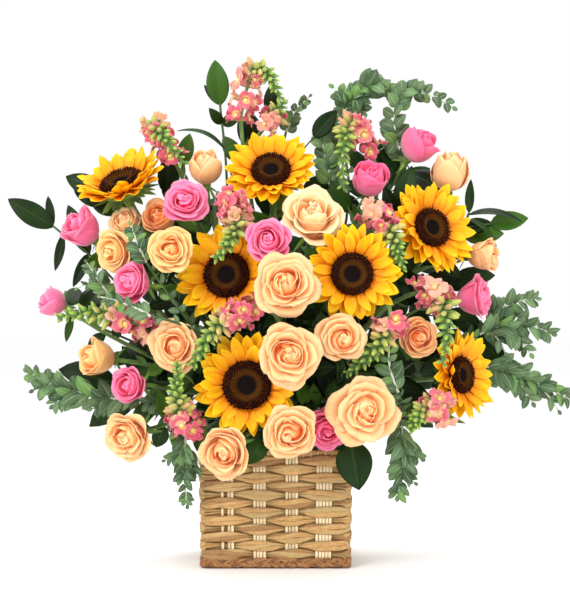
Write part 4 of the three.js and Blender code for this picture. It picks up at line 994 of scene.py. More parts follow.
def rose(bloom, seed):
    draw = random.Random(seed)
    radius, is_open, height = bloom["radius"], bloom["open"], rose_height(bloom)
    work = Work()
    turns, squeeze = mix(1.8, 1.5, is_open), draw.uniform(0.55, 0.8)
    tilt, spin = Vector((draw.uniform(-0.05, 0.05), draw.uniform(-0.05, 0.05), 0)), draw.uniform(0, 6.3)

    def scroll(u, v):
        t = (u + 1) / 2
        theta = turns * 2 * math.pi * t
        out = radius * mix(0.02, mix(0.12, 0.15, is_open), t) * (1 + 0.15 * (1 - v))
        up = height * mix(0.35, mix(1.02, 0.84, is_open) + 0.03 * math.sin(theta * 1.3 + spin), v)
        x, y = out * math.cos(theta), out * math.sin(theta) * squeeze
        x, y = x * math.cos(spin) - y * math.sin(spin), x * math.sin(spin) + y * math.cos(spin)
        return Vector((x, y, up)) + tilt * radius

    work.sheet(scroll, 30, 5, draw.random(), 0.0)
    if is_open > HEART_FROM:
        for n in range(HEART_PETALS):
            angle, reach = n * GOLDEN_TURN, draw.uniform(0.2, 0.36)
            shift = [radius * 0.022 * n * f(angle + 2) for f in (math.cos, math.sin)]
            slopes = (40, 84, 98 + draw.uniform(-12, 12), 110 + draw.uniform(-40, 30))
            top, wide = draw.uniform(0.86, 0.98), draw.uniform(0.9, 1.5)
            shape = rose_petal(radius, height, angle, wide, slopes, reach, top, draw, shift)
            work.sheet(shape, *PETAL_GRID, draw.random(), 0.1)
    start = draw.uniform(0, 2 * math.pi)
    for ring, (count, wide, shut, full) in enumerate(ROSE_RINGS):
        start += math.pi / count + draw.uniform(-0.35, 0.35)
        opened = max(0.0, min(1.0, is_open + draw.uniform(-0.1, 0.05)))
        slopes = [mix(a, b, opened) for a, b in zip(*RING_SLOPES[ring])]
        shut_tight = max(0.0, 1 - is_open / BUD_BELOW)
        if shut_tight and count > 3:  # a bud shows few petals, each wrapped far round the next
            count, wide = 3, wide * 1.12
        for petal in range(count):
            angle = start + 2 * math.pi * (petal + draw.uniform(-0.12, 0.12)) / count
            bent = [slope + draw.uniform(-9, 9) * k for slope, k in zip(slopes, (0.3, 0.6, 1, 1.6))]
            reach = mix(shut[0], full[0], is_open) * (1 + draw.uniform(-0.07, 0.05))
            top = mix(shut[1], full[1], is_open) * (1 + draw.uniform(-0.07, 0.03))
            wavy = mix(0.3, 1.1, is_open)
            broad = wide * draw.uniform(0.92, 1.08)
            lobed = 0.36 * shut_tight
            shape = rose_petal(radius, height, angle, broad, bent, reach, top, draw, (0, 0), wavy, lobed)
            work.sheet(shape, *PETAL_GRID, draw.random(), (ring + 1) / len(ROSE_RINGS))
    drift = drift_field(draw, 0.36 * radius)
    for vert in work.bm.verts:
        rise = min(1.0, vert.co.z / (0.5 * height))
        vert.co += drift(vert.co) * radius * mix(0.05, 0.1, is_open) * rise
    place_bloom(work, bloom)
    return work


def place_bloom(work, bloom):
    matrix = Matrix.Translation(bloom["base"]) @ bloom["turn"].to_4x4()
    bmesh.ops.transform(work.bm, matrix=matrix, verts=work.bm.verts)


# %% All the roses
for blooms, slot, first_seed in ((PEACH_ROSES, "peach_rose", 500), (PINK_ROSES, "pink_rose", 400)):
    for number, bloom in enumerate(blooms):
        made, node = rose(bloom, first_seed + number), bloom["name"]
        finish_piece(node + "_bloom", made, [ROSE_FINISHES[bloom["finish"]]], [node], slot, PETAL_THICK)
print(len(PEACH_ROSES) + len(PINK_ROSES), "roses")

# %% [markdown]
# ## Sunflowers
# The ray petals stand in three staggered rows. Each is a long sheet with a shallow channel, ribs,
# a point, and its own bend and twist. The disc is hundreds of small florets on a low dome, set out
# on the golden angle, which is how the real flower packs them: tiny and closed in the middle, tall
# at the rim.

# %% Ray petals
SUN_ROWS = [
    # petals, lift in degrees, length, height of the root, width
    (15, 31, 0.90, 2.4, 0.25),
    (19, 21, 1.0, 0.8, 0.29),
    (18, 11, 1.03, -1.0, 0.30),
]


def ray_petal(root, length, wide, angle, lift, height, draw):
    bend, twist = draw.uniform(-0.26, 0.2), draw.uniform(-0.6, 0.6)
    sway, wave = draw.uniform(-0.14, 0.14), draw.uniform(0, 2 * math.pi)
    curl = draw.uniform(-0.1, 0.16)
    radial = polar(angle, 1)
    tangent = Vector((-math.sin(angle), math.cos(angle), 0))
    rise, lift = Vector((0, 0, 1)), math.radians(lift)

    def shape(u, v):
        outline = min(1.0, 0.5 + 1.3 * v) * (1 - v**3.8) ** 0.8
        side = u * wide * 0.5 * max(outline, 0.02)
        channel = wide * (0.2 * u * u - 0.07 * max(0.0, 1 - 2.6 * abs(u))) * outline
        channel += wide * 0.07 * math.sin(6 * v + wave) * u * outline
        turned = twist * v * v
        x = side * math.cos(turned) - channel * math.sin(turned) + sway * length * v * v
        z = side * math.sin(turned) + channel * math.cos(turned)
        s = v * length
        out = root + s * math.cos(lift) - length * 0.1 * abs(bend) * v**3
        up = height + s * math.sin(lift) + bend * length * v * v + curl * length * v**4 + z
        return radial * out + tangent * x + rise * up

    return shape


def ray_petals(bloom, seed):
    draw = random.Random(seed)
    work = Work()
    root = bloom["disc"] * 0.9
    for row, (count, lift, share, height, wide) in enumerate(SUN_ROWS):
        for petal in range(count):
            angle = 2 * math.pi * (petal + 0.5 * row + draw.uniform(-0.16, 0.16)) / count
            length = bloom["radius"] * share * draw.uniform(0.95, 1.07) - root
            width = bloom["radius"] * wide * draw.uniform(0.85, 1.12)
            steep = lift + bloom.get("cup", 0) + draw.uniform(-8, 8)
            shape = ray_petal(root, length, width, angle, steep, height, draw)
            work.sheet(shape, 6, 10, draw.random(), row / 2)

    def collar(u, v):
        theta, out = math.pi * u, bloom["disc"] * mix(0.3, 1.02, v)
        return polar(theta, out, mix(1.2, -0.6, v))

    work.sheet(collar, 24, 3, 0.5, 0.0, wrap=True)
    place_bloom(work, bloom)
    return work


# %% The disc
FLORETS = 330


def disc_height(share):
    return 0.16 + 0.16 * smooth(0.34, 0.66, share) - 0.20 * smooth(0.78, 1.02, share)


def disc(bloom, seed):
    draw = random.Random(seed)
    work = Work()
    radius, bottom = bloom["disc"] * 0.98, SUN_HUB + GAP

    def dome(u, v):
        share = min(1.0, v / 0.85)
        theta, out = math.pi * u, radius * share
        up = bottom if v > 0.9 else bottom + radius * disc_height(share) - 1.0
        return polar(theta, out, max(bottom, up))

    for vert in work.sheet(dome, 28, 14, 0.3, 0.0, wrap=True):
        if vert.is_valid:
            work.mark(vert, 0, 0, 0.3, min(1.0, (vert.co.xy.length / radius)))
    for n in range(FLORETS):
        share = math.sqrt((n + 0.5) / FLORETS)
        theta = n * GOLDEN_TURN
        tall = radius * mix(0.05, 0.15, smooth(0.36, 0.8, share)) * draw.uniform(0.8, 1.25)
        wide = radius * mix(0.028, 0.045, share)
        lean = mix(-0.1, 0.55, smooth(0.5, 1.0, share)) + draw.uniform(-0.12, 0.12)
        radial = polar(theta, 1)
        spot = radial * radius * share * 0.96 + Vector((0, 0, bottom + radius * disc_height(share) - 1.2))
        way = (Vector((0, 0, 1)) * math.cos(lean) + radial * math.sin(lean)).normalized()
        turn = way.to_track_quat("Z", "Y").to_matrix().to_4x4()
        made = bmesh.ops.create_cone(
            work.bm, cap_ends=True, segments=5, radius1=wide, radius2=wide * 0.6, depth=tall,
            matrix=Matrix.Translation(spot + way * tall * 0.5) @ turn,
        )["verts"]
        tint = draw.random()
        for vert in made:
            work.mark(vert, 0, 1.0 if (vert.co - spot).dot(way) > tall * 0.5 else 0.0, tint, share)
    place_bloom(work, bloom)
    return work


# %% All the sunflowers
for number, bloom in enumerate(SUNFLOWERS):
    node = bloom["name"]
    rays, florets = ray_petals(bloom, 700 + number), disc(bloom, 800 + number)
    finish_piece(node + "_rays", rays, [SUN_PETAL], [node + "_petals"], "sunflower_petal", PETAL_THICK)
    finish_piece(node + "_florets", florets, [SUN_DISC], [node + "_disc"], "sunflower_disc")
print(len(SUNFLOWERS), "sunflowers")

# %% [markdown]
# ## Flower stems, sepals and bracts
# Each bloom's stem runs in the line found above, from the gathered bundle in the foam. Under a rose
# five narrow sepals bend back from a small round hip, and under a sunflower two rows of pointed
# bracts cover the back of the head.

# %% Stems with their sepals


def pointed(root, way, side, face, length, width, curl):
    """A pointed leaf-like sheet from its root; curl bends it towards face."""

    def shape(u, v):
        outline = min(1.0, 0.55 + 1.4 * v) * (1 - v**2.2) ** 0.85
        lift = length * (curl * v * v) - abs(u) * width * 0.1
        return root + way * (v * length) + side * (u * width * 0.5 * outline) + face * lift

    return shape


SEAT_GAP = 0.4


def dome_under(work, base, turn, radius, depth, tint):
    """A closed round seat between a stem and its bloom."""

    def shape(u, v):
        theta = math.pi * u
        if v < 0.8:
            share = v / 0.8
            reach, up = radius * math.sin(share * math.pi / 2) ** 0.8, -depth * (1 - share**1.6)
        else:
            reach, up = radius * (1 - (v - 0.8) / 0.2), 0.0
        return base + turn @ polar(theta, reach, up - SEAT_GAP)

    work.sheet(shape, 12, 10, tint, 0.2, 1, wrap=True)


stems, draw = Work(), random.Random(17)
for _, bloom, radius, lower, thick in heads:
    base, out, turn = bloom["base"] - bloom["out"] * lower, bloom["out"], bloom["turn"]
    line = [Vector(p) for p in spaced(bloom["stem"], 14)]
    sun = "disc" in bloom
    stems.tube(line, [radius * mix(1.0, 0.85, i / 14) for i in range(15)], 8, draw.random(), 0.5, 0)
    seat = bloom["disc"] * 0.95 if sun else bloom["radius"] * 0.26
    dome_under(stems, base, turn, seat, thick + 4 if sun else thick + 3, draw.random())
    # Each row: how many, their reach, and how far the row is turned.
    rows = ((13, 0.95, 0.0), (12, 0.8, 0.5)) if sun else ((5, 0.62, 0.0),)
    for count, share, shift in rows:
        reach = bloom["disc"] * share if sun else bloom["radius"] * share
        for i in range(count):
            angle = 2 * math.pi * (i + shift + draw.uniform(-0.1, 0.1)) / count
            radial = turn @ polar(angle, 1)
            side = turn @ Vector((-math.sin(angle), math.cos(angle), 0))
            begin = seat * (0.62 if sun else 0.5)
            drop = mix(2.0, thick, 0.3 if sun else 0.5)
            root = base + radial * begin - out * (drop + 0.5)
            way = (radial - out * (0.12 if sun else 0.45)).normalized()
            curl = draw.uniform(-0.25, 0.05) if sun else draw.uniform(-0.35, -0.1)
            width = 13 if sun else 6.5
            shape = pointed(root, way, side, out, reach, width, curl)
            stems.sheet(shape, 4, 6, draw.random(), 0.5, 2 if sun else 1)

# %% The bundle in the foam
BUNDLE_STEMS, BUNDLE_STEM = 31, 3.5  # how many, and the radius of one
for n in range(BUNDLE_STEMS):
    spot = math.sqrt((n + 0.4) / BUNDLE_STEMS) * (BUNDLE_RADIUS - 3.6)
    angle = n * GOLDEN_TURN
    x, y = spot * math.cos(angle), spot * math.sin(angle)
    top = STEM_TOP - 1 + 4 * math.sin(5 * n)
    run = [(x, y, FOOT + 1), (x, y, 130), (x * 0.98, y * 0.98, top)]
    stems.tube(run, BUNDLE_STEM, 8, draw.random(), 0.5, 0)
print(len(heads), "stems,", BUNDLE_STEMS, "ends in the foam")

# %% [markdown]
# ## Snapdragons
# A snapdragon spike carries open florets low down and green buds towards its drooping tip. A floret
# is a short tube with two lips: the upper has two lobes that stand up, and the lower has three that
# hang, over a swollen yellow throat. Small sheets with lobed edges say this better than balls do.

# %% Round a stem


def outward(curve, share, quarters):
    """The way along a curve, and two ways square to it, turned by quarters from the side."""
    along = tangent_on(curve, share)
    side = along.cross(TOWARDS_VIEWER)
    side = side.normalized() if side.length > 0.1 else Vector((1, 0, 0))
    face = side.cross(along).normalized()
    angle = quarters * math.pi / 2
    out = side * math.cos(angle) - face * math.sin(angle)
    return along, out, along.cross(out)


# %% A floret


def lip(root, out, side, up, size, notches, spread, reach, draw):
    """One lip of a floret: it starts round the throat, opens and rolls back, in ruffled lobes."""
    wave, tilt, curl = draw.uniform(0, 6), draw.uniform(-0.25, 0.25), draw.uniform(0.5, 1.2)

    def shape(u, v):
        angle = u * 1.45 + tilt
        lobe = 1 - 0.34 * u**4 - sum(0.34 * math.exp(-(((u - notch) / 0.12) ** 2)) for notch in notches) * v
        length = v * reach * size * lobe
        open_angle = spread * (0.3 + curl * v)
        ruffle = 0.09 * math.sin(7 * u + wave) + 0.05 * math.sin(15 * u + 2 * wave)
        ring = 0.15 * size + length * math.sin(open_angle)
        forward = length * math.cos(open_angle) + ruffle * size * v * v
        return root + (side * math.sin(angle) + up * math.cos(angle)) * ring + out * forward

    return shape


def floret(work, root, out, along, size, draw, young=0.0):
    side = out.cross(along).normalized()
    up = side.cross(out).normalized()
    mouth = root + out * size * 0.4
    tint = min(1.0, draw.random() + young)
    opened = mix(1.0, 0.45, young) * draw.uniform(0.85, 1.1)
    line, radii = [root, root + out * size * 0.2, mouth], [0.1 * size, 0.15 * size, 0.16 * size]
    work.tube(line, radii, 8, tint, 0.5, 0, 0.3)
    work.sheet(lip(mouth, out, side, up, size, (0.0,), 1.0 * opened, 0.54, draw), 12, 5, tint, 1.0, 0)
    work.sheet(lip(mouth, out, side, -up, size, (-0.4, 0.4), 0.9 * opened, 0.48, draw), 14, 5, tint, 1.0, 0)
    bead(work, mouth + out * 0.05 * size - up * 0.04 * size, out, 0.14 * size, 0.14 * size, 0, tint, 1.0, 0.0)
    bead(work, root + out * 0.06 * size, out, 0.14 * size, 0.12 * size, 1, 0.4, 0.0)


def bead(work, centre, way, long, wide, finish, tint, layer, along_mark=None, taper=0.0):
    """A small closed bud, longer along way, and narrower there by its taper."""
    turn = way.to_track_quat("Z", "Y").to_matrix().to_4x4()
    made = bmesh.ops.create_uvsphere(work.bm, u_segments=7, v_segments=5, radius=1.0)["verts"]
    matrix = Matrix.Translation(centre) @ turn
    for vert in made:
        share = 0.5 + 0.5 * vert.co.z
        work.mark(vert, 0, share if along_mark is None else along_mark, tint, layer)
        narrow = wide * (1 - taper * share)
        vert.co = matrix @ Vector((vert.co.x * narrow, vert.co.y * narrow, vert.co.z * long))
    for face in {face for vert in made for face in vert.link_faces}:
        face.material_index = finish


# %% A spike


def twig(work, curve, count, thick, thin, finish):
    """A thin stem along a curve, from one radius to the other."""
    radii = [mix(thick, thin, i / (count - 1)) for i in range(count)]
    work.tube(curve(np.linspace(0, 1, count)), radii, 6, 0.5, 0.5, finish)


def spike(work, curve, florets, buds, draw):
    """Open florets in whorls of three low down, and then buds that are smaller towards the tip."""
    open_share, whorls = florets / (florets + buds), 2 * florets
    twig(work, curve, 12, STEM["snapdragon"], 1.2, 2)
    for whorl in range(whorls):
        share = mix(-0.05, open_share + 0.04, (whorl + 0.5) / whorls)
        for third in range(3):
            quarters = whorl * 0.6 + third * 4 / 3 + draw.uniform(-0.3, 0.3)
            along, out, _ = outward(curve, share, quarters)
            young = 0.5 if whorl == whorls - 1 else 0.0
            size = RACEME["floret"] * draw.uniform(0.8, 1.08) * (1 - 0.3 * young)
            way = (out + along * draw.uniform(-0.1, 0.6)).normalized()
            floret(work, point_on(curve, share) + way * 1.5, way, along, size, draw, young)
    count = 12 * buds
    for n in range(count):
        grown = (n + 0.5) / count
        share = mix(open_share, 1.0, grown)
        along, out, _ = outward(curve, share, n * GOLDEN_TURN * 2 / math.pi)
        size = mix(21, 9, grown**0.8) * draw.uniform(0.8, 1.12)
        way = (out + along * mix(0.15, 0.9, grown) * draw.uniform(0.6, 1.4)).normalized()
        root = point_on(curve, share)
        young = (1 - smooth(0.0, 0.7, grown)) * draw.uniform(0.5, 1.1)
        long, wide = size * mix(0.56, 0.46, grown), size * mix(0.29, 0.27, grown)
        bead(work, root + way * size * 0.62, way, long, wide, 1, draw.random(), young, None, 0.5)
        side = way.cross(along).normalized()
        for turn in (-0.5, 0.7):
            lean = (way + side * turn - along * 0.3).normalized()
            bract = pointed(root + way * 1.0, lean, side, along, size * 0.62, size * 0.36, 0.3)
            work.sheet(bract, 2, 3, draw.random(), 0.5, 2)


# %% Stems of a spray
SHANK = 3.2  # the radius of a spray's thick end, which stands in the foam


def shank(work, foot):
    work.tube([(*foot, z) for z in (FOOT + 1, 135, STEM_TOP)], SHANK, 8, 0.5, 0.5, 1)


def carrier(work, owner, foot, curve, share, radius, finish):
    """The stem that carries a spray from the foam to this share of its curve."""
    start = Vector((*foot, STEM_TOP - 3))
    line = stem_line(start, point_on(curve, share), tangent_on(curve, 0), radius, (owner,))
    occupy_line(owner, line, STEM_STEPS, radius)
    low = [Vector((*foot, z)) for z in (FOOT + 1, 130, 150)]
    points = low + [Vector(p) for p in spaced(line, 14)]
    work.tube(points, radius * 1.1, 6, 0.5, 0.5, finish)
    return line


def upper(line, share):
    """The part of a line past this share of it."""
    return lambda shares: line(share + (1 - share) * np.asarray(shares, float))


def narrow_leaves(work, line, draw):
    """The lance-shaped leaves of a snapdragon's stem, below its spike."""
    for n, share in enumerate(np.linspace(0.5, 0.98, 11)):
        along = tangent_on(line, share)
        around = Quaternion(along, n * GOLDEN_TURN) @ along.orthogonal().normalized()
        way = (around + along * draw.uniform(0.4, 1.0)).normalized()
        root, length = point_on(line, share), draw.uniform(22, 34)
        if rooms(np.array([root + way * length * reach for reach in (0.6, 1.0)]), 1.5, ()).min() < 0:
            continue
        side = way.cross(along).normalized()
        shape = pointed(root, way, side, way.cross(side), length, length * 0.3, -0.2)
        work.sheet(shape, 4, 6, draw.random(), 0.5, 3)


# %% All the snapdragons
for number, (owner, spray) in enumerate(SNAPDRAGONS.items()):
    work, draw = Work(), random.Random(900 + number)
    for *line, florets, buds in spray["racemes"]:
        curve = bezier(*(place(*p) for p in line))
        stem = carrier(work, owner, spray["foot"], curve, 0.02, STEM["snapdragon"], 2)
        spike(work, curve, florets, buds, draw)
        narrow_leaves(work, stem, draw)
    finish_piece(owner + "_spikes", work, SPIKE_FINISHES, [owner], "snapdragon", FLORET_THICK)
print(len(SNAPDRAGONS), "snapdragon sprays")

# %% [markdown]
# ## Ruscus
# The large dark leaves are what frames the bouquet and what fills the depth between the blooms.
# A leaf is broad in the middle and pointed at both ends, with a raised rib, a slight fold and an
# arch. Its twig is led like the other stems.

# %% A leaf
BACK = 128  # no spare leaf reaches further back than this


def leaf(work, root, tip, width, arch, normal, draw, finish=0, grid=(6, 8), blunt=0.0):
    way = tip - root
    length = way.length
    way.normalize()
    side = normal.cross(way).normalized()
    up = way.cross(side)
    fold, wave, twist = draw.uniform(0.06, 0.14), draw.uniform(0, 6), draw.uniform(-0.2, 0.2)

    def shape(u, v):
        outline = math.sin(math.pi * min(1.0, v ** mix(0.85, 0.95, blunt))) ** mix(0.75, 0.6, blunt)
        reach = u * width * 0.5 * max(outline, 0.03)
        bow = 4 * v * (1 - v) * arch + fold * width * abs(u) * outline
        bow += 0.02 * width * math.sin(6 * v + wave) * u + twist * reach * v
        return root + way * (v * length) + side * reach + up * bow

    work.sheet(shape, *grid, draw.random(), 0.5, finish)


# %% Room for a leaf


def leaf_room(owner, root, tip, width, arch, normal, must=False):
    """Whether a leaf has room. A leaf that has leaves its own trail of balls."""
    length = (tip - root).length
    way = (tip - root).normalized()
    side = normal.cross(way).normalized()
    up = way.cross(side)
    probes = []
    for share in (0.3, 0.55, 0.8, 1):
        middle, lift = root + way * (share * length - 1), up * 4 * share * (1 - share) * arch
        for s in (-0.32, 0, 0.32):
            spread = s * width * (1 if share < 1 else 0)
            probes.append(middle + side * spread + lift)
    if not must and rooms(np.array(probes), 0.16 * width, (owner,)).min() < 0.5:
        return False
    for probe in probes:
        occupy(owner + "_leaf", probe, 0.16 * width)
    return True


# %% Fans of branches


def lehmer(seed):
    """The frame's own draw from -1 to 1, so that its fans of leaves come out the same."""
    state = seed
    while True:
        state = state * 16807 % 2147483647
        yield state / 2147483647 * 2 - 1


def fan(work, owner, foot, given, draw):
    """Long leafy branches from one foot, with leaves to the left and right in turn."""
    numbers = lehmer(7)
    branches = []
    for i in range(given["branches"]):
        across = math.radians(mix(-given["spread"], given["spread"], i / (given["branches"] - 1)))
        out = Vector((math.sin(across), math.sin(math.radians(given["lean"])), math.cos(across))).normalized()
        start = Vector((foot[0], foot[1], STEM_TOP - 3))
        end = start + out * given["reach"] * (1 - 0.2 * abs(math.sin(across)))
        line = stem_line(start, end, out, STEM["ruscus"], (owner,))
        occupy_line(owner, line, 6, STEM["ruscus"])
        corners = spaced(line, 6)
        work.tube(corners, STEM["ruscus"] * 1.1, 6, 0.5, 0.5, 1)
        for j in range(given["leaves"] + 1):
            share = mix(0.3, 0.98, j / given["leaves"])
            along = tangent_on(line, share)
            side = Vector((0, 1, 0)).cross(along).normalized()
            hand = 0 if j == given["leaves"] else 0.9 * (1 if j % 2 else -1)
            way = (along + side * hand + TOWARDS_VIEWER * 0.25 * next(numbers)).normalized()
            step = min(5, int(share * 6))
            root = Vector(corners[step] + (corners[step + 1] - corners[step]) * (share * 6 - step))
            tip = root + way * given["leaf"] * (1 + 0.15 * next(numbers))
            normal = Vector((0.4 * next(numbers), -1, 0.5 * next(numbers)))
            arch = 7 * next(numbers)
            if leaf_room(owner, root, tip, given["width"], arch, normal):
                leaf(work, root, tip, given["width"], arch, normal, draw)
        branches.append((line, corners))
    return branches


def more_leaves(work, owner, branches, count, size, width, draw):
    """Smaller leaves all round the branches wherever there is room, to close the depth."""
    added = 0
    for line, corners in branches:
        for j in range(count):
            share = mix(0.1, 0.95, (j + 0.5) / count)
            along = tangent_on(line, share)
            step = min(5, int(share * 6))
            root = Vector(corners[step] + (corners[step + 1] - corners[step]) * (share * 6 - step))
            around = along.orthogonal().normalized()
            around = Quaternion(along, j * GOLDEN_TURN + draw.uniform(-0.3, 0.3)) @ around
            way = (along * 0.8 + around).normalized()
            length = size * draw.uniform(0.75, 1.1)
            normal = (along - way * along.dot(way) + TOWARDS_VIEWER * 0.3).normalized()
            if (root + way * length).y < BACK and leaf_room(owner, root, root + way * length, width, 3, normal):
                leaf(work, root, root + way * length, width * draw.uniform(0.85, 1.1), 3, normal, draw)
                added += 1
    return added


# %% All the ruscus
fans, ruscus = {}, {}
for number, (owner, spray) in enumerate(RUSCUS.items()):
    work, draw = Work(), random.Random(1000 + number)
    foot, roots = spray["foot"], []
    shank(work, foot)
    if owner in FANS:
        fans[owner] = fan(work, owner, foot, FANS[owner], draw)
    for points in spray["twigs"]:
        curve = spline(*(place(*p) for p in points))
        carrier(work, owner, foot, curve, 0, STEM["ruscus"], 1)
        work.tube(curve(np.linspace(0, 1, 9)), STEM["ruscus"] * 1.1, 6, 0.5, 0.5, 1)
        occupy_line(owner, curve, 2 * len(points), STEM["ruscus"])
        roots += [Vector(p) for p in trail(spaced(curve, 2 * len(points)), 1)]
    for root, tip, width, arch in spray["leaves"]:
        wanted, end = place(*root), place(*tip)
        start = min(roots, key=lambda p: (p - wanted).length)
        side = (end - start).cross(TOWARDS_VIEWER).normalized()
        sideways = side if side.z >= 0 else -side
        normal = (sideways if abs(arch) > 7 else TOWARDS_VIEWER) + TOWARDS_VIEWER * 0.7
        leaf_room(owner, start, end, width, arch, normal, must=True)
        leaf(work, start, end, width, arch, normal, draw, grid=(8, 12))
    ruscus[owner] = work
print(len(ruscus), "ruscus sprays")

# %% [markdown]
# ## Eucalyptus
# Small oval leaves stand in pairs along a thin pale twig, and shrink towards its tip. The frame has
# a few pairs of larger blades. The dressed twig has the same pairs and more between them, wherever
# there is room.

# %% Sprigs


def towards(normal, draw):
    """The side of a leaf that the viewer sees, turned a little its own way."""
    normal = normal if normal.y < 0 else -normal
    return normal + Vector((draw.uniform(-0.45, 0.45), -0.3, draw.uniform(-0.45, 0.45)))


# How wide a leaf is for its length, how much longer than the frame's blade, and how far it hangs.
LEAF_FORM = {
    "eucalyptus_top": (0.7, 1.05, 0.0),
    "eucalyptus_left": (0.52, 1.2, 0.25),
    "eucalyptus_right": (0.5, 1.25, 0.3),
}


def oval_leaf(work, owner, root, way, grown, normal, draw):
    wide, longer, _ = LEAF_FORM[owner]
    tip, width = root + way * grown * longer, wide * grown * longer
    leaf(work, root, tip, width, 0.12 * grown, normal, draw, 0, (4, 7), wide)


def sprig(work, owner, curve, size, pairs, draw):
    """A pale twig with pairs of leaves, where the frame has its blades."""
    twig(work, curve, 10, 1.25 * STEM["eucalyptus"], 0.9, 1)
    for pair in range(pairs):
        share = (pair + 0.6) / pairs
        grown = size * mix(1, 0.45, share**1.6)
        for quarters in (0, 2):
            along, out, around = outward(curve, share, quarters)
            way = (out + along * 0.8).normalized()
            probes = [point_on(curve, share) + way * reach * grown for reach in (0.4, 0.7, 1)]
            if rooms(np.array(probes), 0.3 * grown, (owner,)).min() < 0:
                continue
            for probe in probes:
                occupy(owner + "_leaf", probe, 0.3 * grown)
            oval_leaf(work, owner, point_on(curve, share), way, grown, towards(around, draw), draw)


def sprig_extras(work, owner, curve, size, pairs, draw):
    """Leaves between the pairs, a quarter turn round, and one at the tip."""
    hang = LEAF_FORM[owner][2]
    for n, share in enumerate(np.arange(0.04, 1.0, 1 / (3 * pairs))):
        grown = size * mix(1.02, 0.5, share**1.6) * draw.uniform(0.8, 1.1)
        turned = (0.35, 2.35, -0.4, 1.6)[n % 4]
        for quarters in (turned, turned + 2.0 + draw.uniform(-0.2, 0.2)):
            along, out, around = outward(curve, share, quarters)
            way = (out + along * draw.uniform(0.5, 1.1) - Vector((0, 0, hang))).normalized()
            root = point_on(curve, share)
            probes = [root + way * reach * grown for reach in (0.6, 1)]
            if rooms(np.array(probes), 1.5, (owner, owner + "_leaf")).min() < 0:
                continue
            oval_leaf(work, owner, root, way, grown, towards(around, draw), draw)
    tip, along = point_on(curve, 1), tangent_on(curve, 1)
    leaf(work, tip, tip + along * size * 0.36, size * 0.24, 1, TOWARDS_VIEWER, draw, 0, (4, 7), 1.0)


def twiglet(work, owner, curve, share, tip, size, pairs, draw):
    """A side twig that leaves the sprig and ends at its own tip."""
    start, along, end = point_on(curve, share), tangent_on(curve, share), place(*tip)
    side = bezier(start, start + along * 0.4 * (end - start).length, end)
    twig(work, side, 8, 1.2, 0.7, 1)
    sprig_extras(work, owner, side, size, pairs, draw)


# %% All the eucalyptus
# Which sprig a side twig leaves, at what share of it, its tip, its leaf length and pairs.
TWIGLETS = {
    "eucalyptus_left": [
        (0, 0.45, (54, 405, 36), 24, 2),
        (0, 0.7, (34, 390, 28), 22, 1),
        (0, 0.1, (92, 408, 40), 22, 1),
        (3, 0.25, (198, 474, 110), 18, 2),
        (3, 0.1, (166, 460, 106), 18, 2),
        (1, 0.3, (78, 288, 44), 16, 1),
    ],
    "eucalyptus_top": [
        (0, 0.55, (334, 88, -14), 25, 1),
        (0, 0.68, (364, 112, -10), 24, 2),
        (0, 0.9, (391, 90, -14), 24, 2),
        (1, 0.1, (380, 150, -16), 22, 1),
        (3, 0.2, (346, 196, -4), 22, 2),
    ],
    "eucalyptus_right": [
        (1, 0.25, (530, 353, 6), 26, 2),
        (1, 0.05, (505, 352, 12), 24, 1),
        (2, 0.2, (532, 402, 10), 25, 2),
        (2, 0.55, (558, 410, 2), 22, 1),
        (3, 0.2, (420, 458, 106), 24, 2),
        (3, 0.55, (414, 482, 110), 20, 1),
    ],
}
# One stem would cross the face of a rose, so a ball stands there while it is led: the sprig's
# start, and the ball's place and radius.
SCREENED, SCREEN = (150, 316, 118), ((177, 347, 130), 34)
eucalyptus = {}
for number, (owner, spray) in enumerate(EUCALYPTUS.items()):
    work, draw = Work(), random.Random(1100 + number)
    foot = spray["foot"]
    shank(work, foot)
    curves, bare = [], []
    for *line, size, pairs in spray["sprigs"]:
        curve = bezier(*(place(*p) for p in line))
        screen = len(ball_owner)
        if line[0] == SCREENED:
            occupy("screen", place(*SCREEN[0]), SCREEN[1])
        stem = carrier(work, owner, foot, curve, 0.02, STEM["eucalyptus"], 2)
        if line[0] == SCREENED:
            for balls in (ball_owner, ball_centre, ball_radius):
                del balls[screen]
        sprig(work, owner, curve, size, pairs, draw)
        occupy_line(owner, curve, pairs, STEM["eucalyptus"])
        curves.append((curve, size, pairs))
        bare.append((upper(stem, 0.55), 0.9 * size, 2))
    eucalyptus[owner] = work, curves, bare, draw
for owner, (work, curves, bare, draw) in eucalyptus.items():
    for curve, size, pairs in curves:
        sprig_extras(work, owner, curve, size, pairs, draw)
    for number, *given in TWIGLETS[owner]:
        twiglet(work, owner, curves[number][0], *given, draw)
    for stem, size, pairs in bare:
        sprig_extras(work, owner, stem, size, pairs, draw)
    finish_piece(owner + "_sprigs", work, SPRIG_FINISHES, [owner], "eucalyptus", FLORET_THICK)
print(len(eucalyptus), "eucalyptus sprays")

# %% [markdown]
# ## Leaves that close the depth
# Seen from the front a bouquet has no holes, because small leaves stand on every stem behind the
# blooms. They could be scattered at random, but then some would cut through petals. So each one
# asks the balls for room first: on the flower stems, all round the fans, at named gaps of the view,
# and over the rim, where they hide the foam.

# %% Leaves on stems, in gaps and over the rim


